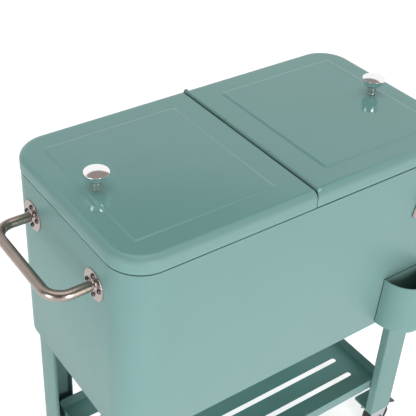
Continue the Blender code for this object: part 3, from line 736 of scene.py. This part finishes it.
def lid_levels(side):
    """The outside of a lid: a soft hem, the skirt and the rolled edge, then a little of the flat."""
    fold = 0.0014 if side < 0 else 0.0005
    hem = hem_steps(skirt_bottom(side), LID_HEM)
    levels = [(lid_outline(side, inset, inset), height) for inset, height in hem]
    levels.append((lid_outline(side, 0, 0), LID_TOP - OPEN_BELOW))
    for i in range(FILLET_STEPS + 1):
        turn = math.radians(90 * i / FILLET_STEPS)
        inset, hinge_inset = EDGE_RADIUS * (1 - math.cos(turn)), fold * (1 - math.cos(turn))
        height = LID_TOP - EDGE_RADIUS * (1 - math.sin(turn))
        levels.append((lid_outline(side, inset, hinge_inset), height))
    levels.append((lid_outline(side, EDGE_RADIUS + 0.0010, fold + 0.0008), LID_TOP))
    return levels


def lid_mesh(name, side):
    bm = bmesh.new()
    rings = [ring_of(bm, outline, height) for outline, height in lid_levels(side)]
    for lower, upper in zip(rings, rings[1:]):
        bridge(bm, lower, upper)
    flat = ring_of(bm, panel_outline(side, -0.0010), LID_TOP)
    steps = 8
    slopes = [flat]
    for i in range(steps + 1):
        t = i / steps
        rise = t * t * (3 - 2 * t)
        slopes.append(ring_of(bm, panel_outline(side, PANEL_SLOPE * t), LID_TOP + PANEL_RISE * rise))
    slopes.append(ring_of(bm, panel_outline(side, PANEL_SLOPE + 0.0010), LID_TOP + PANEL_RISE))
    for lower, upper in zip(slopes, slopes[1:]):
        bridge(bm, lower, upper)
    bm.faces.new(slopes[-1])
    border = [edge for edge in bm.edges if edge.is_boundary and edge.verts[0].co.z > LID_TOP - 0.0001]
    filled = bmesh.ops.triangle_fill(bm, use_beauty=True, edges=border)["geom"]
    faces = [item for item in filled if isinstance(item, bmesh.types.BMFace)]
    bmesh.ops.reverse_faces(bm, faces=[face for face in faces if face.normal.z < 0])
    open_hinge_edge(bm)
    return mesh_of(name, bm)


def open_hinge_edge(bm):
    """Leaves out the low part of the hinge side, which would stand in the tub's rim."""
    low = []
    for face in bm.faces:
        middle = face.calc_center_median()
        if abs(middle.x) < 0.02 and abs(middle.y) < 0.02 and middle.z < LID_TOP - OPEN_BELOW:
            low.append(face)
    bmesh.ops.delete(bm, geom=low, context="FACES")


def make_lid(word, side):
    body = f"lid_{word}"
    mesh = lid_mesh(f"{body}_cover", side)
    solidify(piece(f"{body}_cover", mesh, PAINT, body, [f"{body}_shell"]), SHEET)
    edge = lid_outline(side, 0.0035, 0.0045)
    levels = [
        (lid_outline(side, 0.0050, 0.0060), LID_TOP - LINER_BOTTOM),
        (lid_outline(side, 0.0038, 0.0048), LID_TOP - LINER_BOTTOM + 0.0006),
        (edge, LID_TOP - LINER_BOTTOM + 0.0018),
        (edge, LID_TOP - EDGE_RADIUS),
        (lid_outline(side, 0.014, 0.0065), LID_TOP - LINER_TOP),
    ]
    piece(f"{body}_lining", loft(f"{body}_lining", levels), LINER, body, [f"{body}_liner"])
    make_gasket(word, side)
    make_knob(word, side)


def make_gasket(word, side):
    """A soft square seal with rounded lower edges."""
    high, low = LID_TOP - LINER_BOTTOM - GAP, LID_TOP - GASKET_BOTTOM
    section = [(0.010, high), (0.010, low + 0.0016), (0.0106, low + 0.0005), (0.0120, low)]
    section += [(0.0160, low), (0.0174, low + 0.0005), (0.018, low + 0.0016), (0.018, high)]
    levels = []
    for inset, height in section:
        levels.append((lid_outline(side, inset, inset - 0.002, 0.0035), height))
    mesh = loft(f"lid_{word}_seal", levels[::-1], looped=True)
    piece(f"lid_{word}_seal", mesh, SEAL, f"lid_{word}", [f"lid_{word}_gasket"], sharp=40)


def make_knob(word, side):
    post, foot, stud, nut = 0.0085, 0.0088, 0.0022, 0.0050
    nut_top = -SHEET - 2 * GAP
    nut_low = nut_top - 0.0035
    stem_profile = smooth_profile(
        [(0, KNOB_SEAT), (post, KNOB_SEAT), (post, 0.0014), (foot, 0.0010), (foot, GAP)], [0.0004] * 3
    )
    stem_profile += [(stud, GAP), (stud, nut_top), (nut, nut_top), (nut, nut_low), (0, nut_low)]
    low, top, wide = KNOB_SEAT + GAP, KNOB_HEIGHT, KNOB_RADIUS
    bulge, steps = 0.0024, 12
    crown = [((wide - 0.0004) * i / steps, top - bulge * (i / steps) ** 2) for i in range(steps + 1)]
    rim = smooth_profile(
        [
            crown[-1],
            (wide, top - bulge - 0.0001),
            (wide, top - bulge - 0.0014),
            (wide - 0.0007, top - 0.0070),
            (wide - 0.0030, low + 0.0040),
            (KNOB_BOWL, low),
            (0.0, low),
        ],
        [0.0004, 0.0008, 0.0020, 0.0024, 0.0010],
    )
    place = (side * KNOB_X, 0, LID_TOP + PANEL_RISE)
    body = f"lid_{word}"
    stem = turned(f"knob_{word}_post", stem_profile)
    piece(f"knob_{word}_post", stem, SATIN_STEEL, body, [f"knob_{word}_stem"], place, sharp=35)
    head = turned(f"knob_{word}_cap", crown + rim[1:])
    piece(f"knob_{word}_cap", head, CHROME, body, [f"knob_{word}_head"], place, sharp=35)


def apply_cut(obj, *cutters):
    """Cuts the piece, and leaves the result as its own mesh with nothing of the cutters behind."""
    for cutter in cutters:
        bpy.context.scene.collection.objects.link(cutter)
        modifier = obj.modifiers.new("cut", "BOOLEAN")
        modifier.operation = "DIFFERENCE"
        modifier.solver = "EXACT"
        modifier.object = cutter
    settle(obj)
    for cutter in cutters:
        bpy.data.objects.remove(cutter, do_unlink=True)


def knuckle_mesh(name, y0, y1, side):
    """A rolled barrel with its leaf: a section swept along Y."""
    axis = Vector((HINGE_X, LID_TOP - HINGE_DROP))
    leaf_low = LID_TOP - 0.020
    outer = arc(axis, KNUCKLE_RADIUS, 0, 360, 32)[:-1]
    bore = arc(axis, KNUCKLE_BORE, 0, 360, 32)[:-1]
    bm = bmesh.new()
    ends = []
    for level in (y0, y1):
        ends.append([[bm.verts.new((x, level, z)) for x, z in ring] for ring in (outer, bore)])
    bridge(bm, ends[0][0], ends[1][0])
    bridge(bm, ends[1][1], ends[0][1])
    bridge(bm, ends[0][1], ends[0][0])
    bridge(bm, ends[1][0], ends[1][1])
    bmesh.ops.recalc_face_normals(bm, faces=bm.faces)
    barrel = mesh_of(name, bm)
    if side < 0:
        face, end = LEFT_LID_EDGE + GAP, axis[0] - 0.0020
        ledge = axis[1] - KNUCKLE_BORE - 0.0004
        leaf = [(end, ledge), (end, ledge - SHEET), (face + SHEET, ledge - SHEET)]
        leaf += [(face + SHEET, leaf_low), (face, leaf_low), (face, ledge)]
    else:
        face = RIGHT_LID_EDGE - GAP
        leaf = [(face, axis[1]), (face - SHEET, axis[1]), (face - SHEET, leaf_low), (face, leaf_low)]
    return merged(name, barrel, prism("leaf", leaf, y0, y1, "Y"))


def make_hinge():
    near = LUG_Y - LUG_HALF - KNUCKLE_CLEARANCE
    past = LUG_Y + LUG_HALF + KNUCKLE_CLEARANCE
    for word, y0, y1, side, body in (
        ("middle", -near, near, -1, "lid_left"),
        ("front", -BARREL_HALF, -past, 1, "lid_right"),
        ("back", past, BARREL_HALF, 1, "lid_right"),
    ):
        mesh = knuckle_mesh(f"barrel_{word}", y0, y1, side)
        piece(f"barrel_{word}", mesh, PAINT, body, [f"hinge_knuckle_{word}"])
    cap = [*dome(KNUCKLE_RADIUS, 0.0010, 6), (0.0, 0.0)]
    for word, side_y in (("front", -1), ("back", 1)):
        name = f"barrel_cap_{word}"
        place = (HINGE_X, side_y * BARREL_HALF, LID_TOP - HINGE_DROP)
        turn = (-side_y * math.pi / 2, 0, 0)
        piece(name, turned(name, cap, 40), PAINT, "lid_right", (), place, turn)
    bevel = 0.0005
    half = BARREL_HALF - bevel
    end = [(0, half), (ROD_RADIUS - bevel, half), (ROD_RADIUS, half - bevel)]
    rod = turned("rod", end + mirrored(end), 32)
    place = (HINGE_X, 0, LID_TOP - HINGE_DROP)
    piece("rod", rod, STEEL, "body", ["hinge_rod"], place, (math.pi / 2, 0, 0))
    make_tongues()


def make_tongues():
    """The right lid's skirt runs on under the end of the barrel, at the front and the back."""
    proud, inset_top, steps = 0.00005, 0.0060, 8
    section = [*hem_steps(skirt_bottom(1), LID_HEM), (0.0, LID_TOP - EDGE_RADIUS)]
    last = math.acos(1 - inset_top / EDGE_RADIUS)
    for i in range(1, steps + 1):
        turn = last * i / steps
        section.append((EDGE_RADIUS * (1 - math.cos(turn)), LID_TOP - EDGE_RADIUS * (1 - math.sin(turn))))
    top = section[-1][1]
    for word, side_y in (("front", -1), ("back", 1)):
        bm = bmesh.new()
        rows = [[], []]
        for inset, height in section:
            rise = max(0.0, (height - LID_TOP + EDGE_RADIUS) / (top - LID_TOP + EDGE_RADIUS))
            left = -0.0036 + 0.0016 * rise
            y = side_y * (HALF_WIDTH - inset + proud)
            for row, x in zip(rows, (left, RIGHT_LID_EDGE + 0.0015)):
                row.append(bm.verts.new((x, y, height)))
        for i in range(len(section) - 1):
            bm.faces.new((rows[0][i], rows[1][i], rows[1][i + 1], rows[0][i + 1]))
        if side_y > 0:
            bmesh.ops.reverse_faces(bm, faces=bm.faces)
        name = f"hinge_tongue_{word}"
        solidify(piece(name, mesh_of(name, bm), PAINT, "lid_right"), SHEET)


def make_bar():
    top = RIM_TOP
    end = HALF_WIDTH - MOUTH_INSET - 0.0016
    low = top - BAR_DEPTH
    outline = rounded(HINGE_X - BAR_HALF, HINGE_X + BAR_HALF, low, top, [0.003] * 4, [4] * 4)
    bar = prism("cross_bar", outline, -end, end, "Y")
    axis_height = LID_TOP - HINGE_DROP
    piece("cross_bar", bar, LINER, "body", ["centre_bar"])
    lugs = []
    for y in (-LUG_Y, LUG_Y):
        lug = [(HINGE_X - 0.0040, top - 0.003), (HINGE_X + 0.0040, top - 0.003)]
        lug += arc((HINGE_X, axis_height), 0.0042, -17, 197, 20)
        lugs.append(prism("lug", lug, y - LUG_HALF, y + LUG_HALF, "Y"))
    piece("rod_lugs", merged("rod_lugs", *lugs), PAINT, "body")


# Handles


def handle_path(side):
    height = LID_TOP - HANDLE_DROP
    wall = HALF_LENGTH - BODY_INSET + GAP
    far, turn_y = HANDLE_REACH - HANDLE_BEND, HANDLE_Y - HANDLE_BEND
    points = [(wall, -HANDLE_Y), (wall + 0.015, -HANDLE_Y)]
    points += arc((far, -turn_y), HANDLE_BEND, -90, 0, 18)
    points += [(HANDLE_REACH, y) for y in (-0.035, 0.0, 0.035)]
    points += arc((far, turn_y), HANDLE_BEND, 0, 90, 18)
    points += [(wall + 0.015, HANDLE_Y), (wall, HANDLE_Y)]
    return [(side * x, HANDLE_SHIFT + y, height) for x, y in points]


def screw_mesh(name, radius, height, socket=False):
    """A domed screw head with a cross recess or a hexagon socket."""
    head = turned(name, [*dome(radius, height, 8), (radius, 0.0), (0.0, 0.0)], 32)
    obj = bpy.data.objects.new(name, head)
    bpy.context.scene.collection.objects.link(obj)
    deep, wide, long = height * 0.45, radius * 0.13, radius * 0.52
    cutters = []
    if socket:
        hexagon = prism("socket", arc((0, 0), radius * 0.60, 0, 300, 5), height * 0.15, height + 0.002)
        cutters.append(bpy.data.objects.new("socket", hexagon))
    else:
        for x, y in ((long, wide), (wide, long)):
            mesh = block("recess", (-x, -y, height - deep), (x, y, height + 0.002))
            cutters.append(bpy.data.objects.new("recess", mesh))
    apply_cut(obj, *cutters)
    made = obj.data
    bpy.data.objects.remove(obj, do_unlink=True)
    return made


def make_handle(word, side, screw):
    mesh = tube_mesh(f"grip_{word}", handle_path(side), HANDLE_TUBE, 40)
    piece(f"grip_{word}", mesh, STEEL_Y, "body", [f"handle_{word}_tube"])
    bore = HANDLE_TUBE + GAP
    profile = smooth_profile(
        [
            (bore, 0.0060),
            (bore + 0.0012, 0.0057),
            (bore + 0.0026, FLANGE_SHEET + 0.0004),
            (FLANGE_RADIUS - 0.0008, FLANGE_SHEET),
            (FLANGE_RADIUS, FLANGE_SHEET - 0.0006),
            (FLANGE_RADIUS, 0.0),
            (bore, 0.0),
        ],
        [0.0006, 0.0014, 0.0006, 0.0004, 0.0, 0.0],
    )
    wall = HALF_LENGTH - BODY_INSET + GAP
    turn = (0, side * math.pi / 2, 0)
    for place, y in (("front", -HANDLE_Y), ("back", HANDLE_Y)):
        name = f"escutcheon_{word}_{place}"
        centre = Vector((side * wall, HANDLE_SHIFT + y, LID_TOP - HANDLE_DROP))
        mesh = turned(name, profile, closed=True)
        piece(name, mesh, STEEL, "body", [f"handle_{word}_flange_{place}"], centre, turn)
        for i in range(4):
            angle = math.pi / 2 * i
            reach = (math.cos(angle) * SCREW_CIRCLE, math.sin(angle) * SCREW_CIRCLE)
            shift = Vector((side * FLANGE_SHEET, *reach))
            name = f"flange_screw_{word}_{place}_{i + 1}"
            # The screw heads take the steel painted dark as a stand-in for what they reflect
            piece(name, screw.copy(), PAINTED_DARK_SCREW_STEEL, "body", (), centre + shift, turn)


# Opener and cap catcher


def opener_outline():
    corner, slant = 0.008, 10
    top, low = OPENER_HEIGHT / 2 - OPENER_TOP_HALF, corner - OPENER_HEIGHT / 2
    outline = arc((OPENER_BASE_HALF - corner, low), corner, -90, slant, 8)
    outline += arc((0.0, top), OPENER_TOP_HALF, slant, 180 - slant, 20)
    return outline + arc((corner - OPENER_BASE_HALF, low), corner, 180 - slant, 270, 8)


def make_opener(screw):
    """A plate with a hood above and an upturned lip below; their sections are in YZ."""
    front = BODY_INSET - HALF_WIDTH - GAP
    plate = prism("opener_plate", opener_outline(), -OPENER_SHEET, 0.0, "Y")
    place = (OPENER_X, front, OPENER_CENTRE)
    soften(piece("opener_plate", plate, STEEL, "body", ["bottle_opener"], place), 0.0006)
    out, back, low, floor, high = -0.0186, -0.0158, -0.0080, -0.0052, 0.0020
    lip = [(0.0, floor), (0.0, low), (out + 0.0016, low), (out, low + 0.0016)]
    lip += [(out, high), (back, high), (back, floor)]
    hood = [(0.0, 0.0320), (0.0, 0.0290), (-0.0102, 0.0265), (-0.0118, 0.0290), (-0.0100, 0.0305)]
    place = (OPENER_X, front - 0.0010, OPENER_CENTRE)
    for name, section, half in (("opener_lip", lip, 0.014), ("opener_hood", hood, 0.011)):
        mesh = prism(name, section, -half, half, "X")
        soften(piece(name, mesh, STEEL, "body", (), place), 0.0006)
    turn = (math.pi / 2, 0, 0)
    for word, height in (("upper", 0.020), ("lower", -0.026)):
        place = (OPENER_X, front - OPENER_SHEET, OPENER_CENTRE + height)
        replaced = [f"opener_screw_{word}"]
        piece(f"opener_fixing_{word}", screw.copy(), STEEL, "body", replaced, place, turn)


def catcher_outline(half, depth):
    """A half round that stops just short of the wall."""
    wall = BODY_INSET - HALF_WIDTH - CATCHER_GAP
    points, steps = [], 48
    for i in range(steps + 1):
        turn = math.pi * i / steps
        y = min(-HALF_WIDTH - depth * math.sin(turn), wall)
        points.append((CATCHER_X - half * math.cos(turn), y))
    return points


def make_catcher():
    """A flared half-round cup with a rolled rim and a rounded foot."""
    tall = CATCHER_TOP - CATCHER_BOTTOM
    levels = []
    for height, shrink in ((tall, 0.0), (0.010, 0.0), (0.0045, 0.0006), (0.0015, 0.0024), (0.0, 0.0055)):
        t = 1 - height / tall
        half = CATCHER_RIM[0] + (CATCHER_BASE[0] - CATCHER_RIM[0]) * t - shrink
        depth = CATCHER_RIM[1] + (CATCHER_BASE[1] - CATCHER_RIM[1]) * t - shrink
        levels.append((catcher_outline(half, depth), CATCHER_BOTTOM + height))
    mesh = loft("cap_cup", levels, start_cap=False, flip=True)
    solidify(piece("cap_cup", mesh, PAINT, "body", ["cap_catcher"]), SHEET)
    wall = BODY_INSET - HALF_WIDTH
    # Black strips along the cup's sides, in the gap at the wall: painted shadow of that gap, in the seal
    # rubber's look
    for word, side in (("left", -1), ("right", 1)):
        edge = [(CATCHER_X + side * CATCHER_BASE[0], CATCHER_BOTTOM + 0.006)]
        edge.append((CATCHER_X + side * CATCHER_RIM[0], CATCHER_TOP))
        strip = [*edge, *((x - side * 0.0030, z) for x, z in edge[::-1])]
        mesh = prism(f"cap_cup_gap_shadow_{word}", strip, wall - CATCHER_GAP, wall - GAP, "Y")
        piece(f"cap_cup_gap_shadow_{word}", mesh, SEAL, "body")
    rim = catcher_outline(CATCHER_RIM[0] + 0.0004, CATCHER_RIM[1] + 0.0004)
    path = [(x, y, CATCHER_TOP) for x, y in rim]
    piece("cap_cup_rim", tube_mesh("cap_cup_rim", path, 0.0016, 16), PAINT, "body")


# Legs and shelf


def make_leg(word, side_x, side_y):
    """A folded angle with a lip on each face, and a plate at its foot and its head."""
    fold, bend, plate = 0.006, 0.003, 0.0025
    corner = arc((fold, fold), fold, 270, 180, 10)
    lip_bend = arc((LEG_FACE - bend, bend), bend, 0, -90, 6)
    far_bend = arc((bend, LEG_FACE - bend), bend, 180, 90, 6)
    path = [(LEG_FACE, LEG_LIP), *lip_bend, *corner, *far_bend, (LEG_SIDE_LIP, LEG_FACE)]
    top = BODY_BOTTOM - GAP
    bm = bmesh.new()
    low, high = [
        [bm.verts.new((side_x * (LEG_X - x), side_y * (LEG_Y - y), height)) for x, y in path]
        for height in (LEG_BOTTOM, top)
    ]
    for i in range(len(path) - 1):
        bm.faces.new((low[i], low[i + 1], high[i + 1], high[i]))
    if side_x * side_y > 0:
        bmesh.ops.reverse_faces(bm, faces=bm.faces)
    name = f"leg_panel_{word}"
    solidify(piece(name, mesh_of(name, bm), PAINT, "body", [f"leg_{word}"]), LEG_SHEET)
    near, far = 0.0018, LEG_FACE - 0.0018
    xs = sorted((side_x * (LEG_X - near), side_x * (LEG_X - far)))
    ys = sorted((side_y * (LEG_Y - near), side_y * (LEG_Y - far)))
    outline = rounded(*xs, *ys, [fold] * 4, [6] * 4)
    for place, base in (("foot", LEG_BOTTOM), ("head", top - plate)):
        name = f"leg_{place}_{word}"
        piece(name, prism(name, outline, base, base + plate), PAINT, "body")


def make_shelf():
    """A pressed tray with rolled walls and long slots; its corner tabs reach into the legs."""
    x, y = LEG_X - LEG_LIP - 0.003, LEG_Y - LEG_LIP - 0.003
    radius, bend, sheet = 0.012, 0.003, 0.0015
    base = SHELF_TOP - sheet
    levels = [(rounded(-x, x, -y, y, [radius] * 4, [8] * 4), SHELF_TOP + SHELF_WALL)]
    for i in range(5):
        turn = math.radians(22.5 * i)
        inset = bend * (1 - math.cos(turn))
        outline = rounded(inset - x, x - inset, inset - y, y - inset, [radius - inset] * 4, [8] * 4)
        levels.append((outline, base + bend * (1 - math.sin(turn))))
    mesh = loft("shelf_tray", levels, start_cap=False, flip=True)
    tray = solidify(piece("shelf_tray", mesh, PAINT, "body", ["lower_shelf"]), sheet)
    inner, half, pitch = LEG_X - LEG_FACE - 0.004, 0.006, 0.050
    slots = []
    for i in range(-2, 3):
        outline = rounded(-inner, inner, i * pitch - half, i * pitch + half, [0.0059] * 4, [6] * 4)
        cutter = bpy.data.objects.new("slot", prism("slot", outline, base - 0.01, SHELF_TOP + 0.01))
        cutter.location = (0, BODY_Y, 0)
        slots.append(cutter)
    apply_cut(tray, *slots)
    reach = LEG_FACE - LEG_SHEET - 0.0020
    tab = LEG_SHEET + GAP
    for word, side_x, side_y in corners():
        points = [(x - 0.006, LEG_Y - reach), (LEG_X - tab, LEG_Y - reach), (LEG_X - tab, LEG_Y - 0.012)]
        points += [(LEG_X - 0.012, LEG_Y - tab), (LEG_X - reach, LEG_Y - tab), (LEG_X - reach, y - 0.006)]
        outline = [(side_x * a, side_y * b) for a, b in points]
        mesh = prism(f"shelf_tab_{word}", outline, base - 0.0001, SHELF_TOP - 0.0001)
        piece(f"shelf_tab_{word}", mesh, PAINT, "body")


def corners():
    for end, side_x in (("left", -1), ("right", 1)):
        for place, side_y in (("front", -1), ("back", 1)):
            yield f"{place}_{end}", side_x, side_y


# Casters


def hex_head(radius, low, high):
    return prism("hex", arc((0, 0), radius, 0, 300, 5), low, high)


def make_caster(word, side_x, side_y, braked):
    x, y = side_x * CASTER_AXIS[0], side_y * CASTER_AXIS[1]
    make_mount(word, x, y)
    make_fork(word, x, y, braked)
    axle = (x + TRAIL, y, WHEEL_RADIUS)
    flat = (math.pi / 2, 0, 0)
    end, seat, tip = [(0, 0.0205), (0.0030, 0.0205)], 0.0188, 0.0222
    shank = turned("shank", end + mirrored(end), 24)
    heads = [hex_head(0.0058, seat, tip), hex_head(0.0058, -tip, -seat)]
    name, node = f"axle_bolt_{word}", [f"caster_{word}_axle"]
    mesh = merged(name, shank, *heads)
    soften(piece(name, mesh, ZINC, f"{word}_fork", node, axle, flat), 0.0004)
    hub = [(0.0034, 0.0125), (0.0085, 0.0125), (0.0095, 0.0070), (0.0185, 0.0062)]
    hub += [(0.0205, 0.0102), (0.0230, 0.0102)]
    rounds = [0.0006, 0.001, 0.002, 0.001, 0.0]
    hub = smooth_profile(hub + mirrored(hub), rounds + rounds[::-1], 3)
    tread = [(0.0233, WHEEL_HALF - 0.0006), (0.0265, WHEEL_HALF), (0.0292, WHEEL_HALF - 0.0014)]
    tread += [(0.0304, 0.0080), (WHEEL_RADIUS - 0.00005, 0.0045), (WHEEL_RADIUS, 0.0)]
    tread += mirrored(tread[:-1])
    for name, node, profile, look, slot in (
        (f"wheel_core_{word}", f"caster_{word}_wheel", hub, BLACK, "black"),
        (f"tread_{word}", f"caster_{word}_tyre", tread, TYRE, "tyre"),
    ):
        mesh = turned(name, profile, 56, closed=True)
        piece(name, mesh, look, f"{word}_wheel", [node], axle, flat, sharp=35)
    if braked:
        make_pedal(word, x, y)


def make_mount(word, x, y):
    top = LEG_BOTTOM - GAP
    outline = rounded(-0.026, 0.026, -0.026, 0.026, [0.006] * 4, [6] * 4)
    plate = prism("plate", outline, top - 0.0025, top)
    race_low, kingpin, pin_high, pin_low, bolt_reach = top - 0.0090, 0.0040, 0.0650, 0.0622, 0.0195
    race = smooth_profile(
        [(0.0, top - 0.0010), (0.0170, top - 0.0010), (0.0188, top - 0.0045), (0.0150, race_low)],
        [0.001, 0.001],
    )
    pin = [(kingpin, race_low), (kingpin, pin_high), (0.0062, pin_high), (0.0050, pin_low), (0.0, pin_low)]
    bolts = []
    for bolt_x, bolt_y in ((-1, -1), (-1, 1), (1, -1), (1, 1)):
        head = hex_head(0.0045, top - 0.0055, top - 0.0024)
        bolts.append((head, Matrix.Translation((bolt_x * bolt_reach, bolt_y * bolt_reach, 0))))
    name = f"caster_plate_{word}"
    mesh = merged(name, plate, turned("race", race + pin, 40), *bolts)
    soften(piece(name, mesh, ZINC, "body", [f"caster_{word}_mount"], (x, y, 0)), 0.0003)


def make_fork(word, x, y, braked):
    crown_low, crown_high, bore, rim, back, knee = 0.0657, 0.0711, 0.0045, 0.0190, -0.0100, 0.0500
    crown = [
        (bore, crown_high),
        (0.0150, crown_high),
        (0.0178, crown_high - 0.0012),
        (rim, crown_high - 0.0035),
        (rim, crown_low),
        (bore, crown_low),
    ]
    outline = [(back, crown_high - 0.0008), (back, knee)]
    outline += arc((TRAIL, WHEEL_RADIUS), 0.0080, 190, 350, 12)
    if braked:
        outline += [(TRAIL + 0.0120, knee)]
        outline += arc(PEDAL_PIVOT, 0.0045, -30, 90, 8)
        outline += [(0.0130, crown_high - 0.0008)]
    else:
        outline += [(TRAIL + 0.0040, 0.0560), (0.0130, crown_high - 0.0008)]
    meshes = [turned("crown", crown, 40, closed=True)]
    for end in (-1, 1):
        middle = end * ARM_Y
        meshes.append(prism("arm", outline, middle - ARM_SHEET / 2, middle + ARM_SHEET / 2, "Y"))
    name = f"fork_{word}"
    mesh = merged(name, *meshes)
    soften(piece(name, mesh, ZINC, f"{word}_fork", [f"caster_{word}_fork"], (x, y, 0)), 0.0005)


def make_pedal(word, x, y):
    end = [(0, 0.0182), (0.0018, 0.0182)]
    pin = turned("pin", end + mirrored(end), 20)
    pin.transform(Matrix.Rotation(math.pi / 2, 4, "X"))
    outline = [(-0.0020, 0.0010), (-0.0020, -0.0020), (0.0030, -0.0034)]
    outline += [(0.0320, -0.0150), (0.0330, -0.0115), (0.0060, 0.0018)]
    lever = prism("lever", outline, -0.0135, 0.0135, "Y")
    meshes = [pin, lever]
    for i in range(4):
        along = 0.016 + 0.0035 * i
        past = along + 0.0012
        height = -0.0028 - (along - 0.006) * 0.44
        rib = [(along, height), (past, height - 0.0005), (past, height + 0.0020), (along, height + 0.0025)]
        meshes.append(prism("rib", rib, -0.0115, 0.0115, "Y"))
    mesh = merged(f"brake_lever_{word}", *meshes)
    place = (x + PEDAL_PIVOT[0], y, PEDAL_PIVOT[1])
    node = [f"caster_{word}_pedal"]
    soften(piece(f"brake_lever_{word}", mesh, BLACK, f"{word}_brake", node, place), 0.0006)


# Assembly

make_camera()
make_world()
make_stage()
make_body()
make_tub()
make_drain()
make_lid("left", -1)
make_lid("right", 1)
make_hinge()
make_bar()
flange_head = screw_mesh("flange_screw_head", *FLANGE_SCREW, socket=True)
make_handle("left", -1, flange_head)
make_handle("right", 1, flange_head)
make_opener(screw_mesh("opener_screw_head", *OPENER_SCREW))
make_catcher()
for corner_word, corner_x, corner_y in corners():
    make_leg(corner_word, corner_x, corner_y)
    make_caster(corner_word, corner_x, corner_y, braked=corner_x > 0)
make_shelf()
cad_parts["foam_core"].data.materials.clear()
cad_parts["foam_core"].data.materials.append(FOAM)
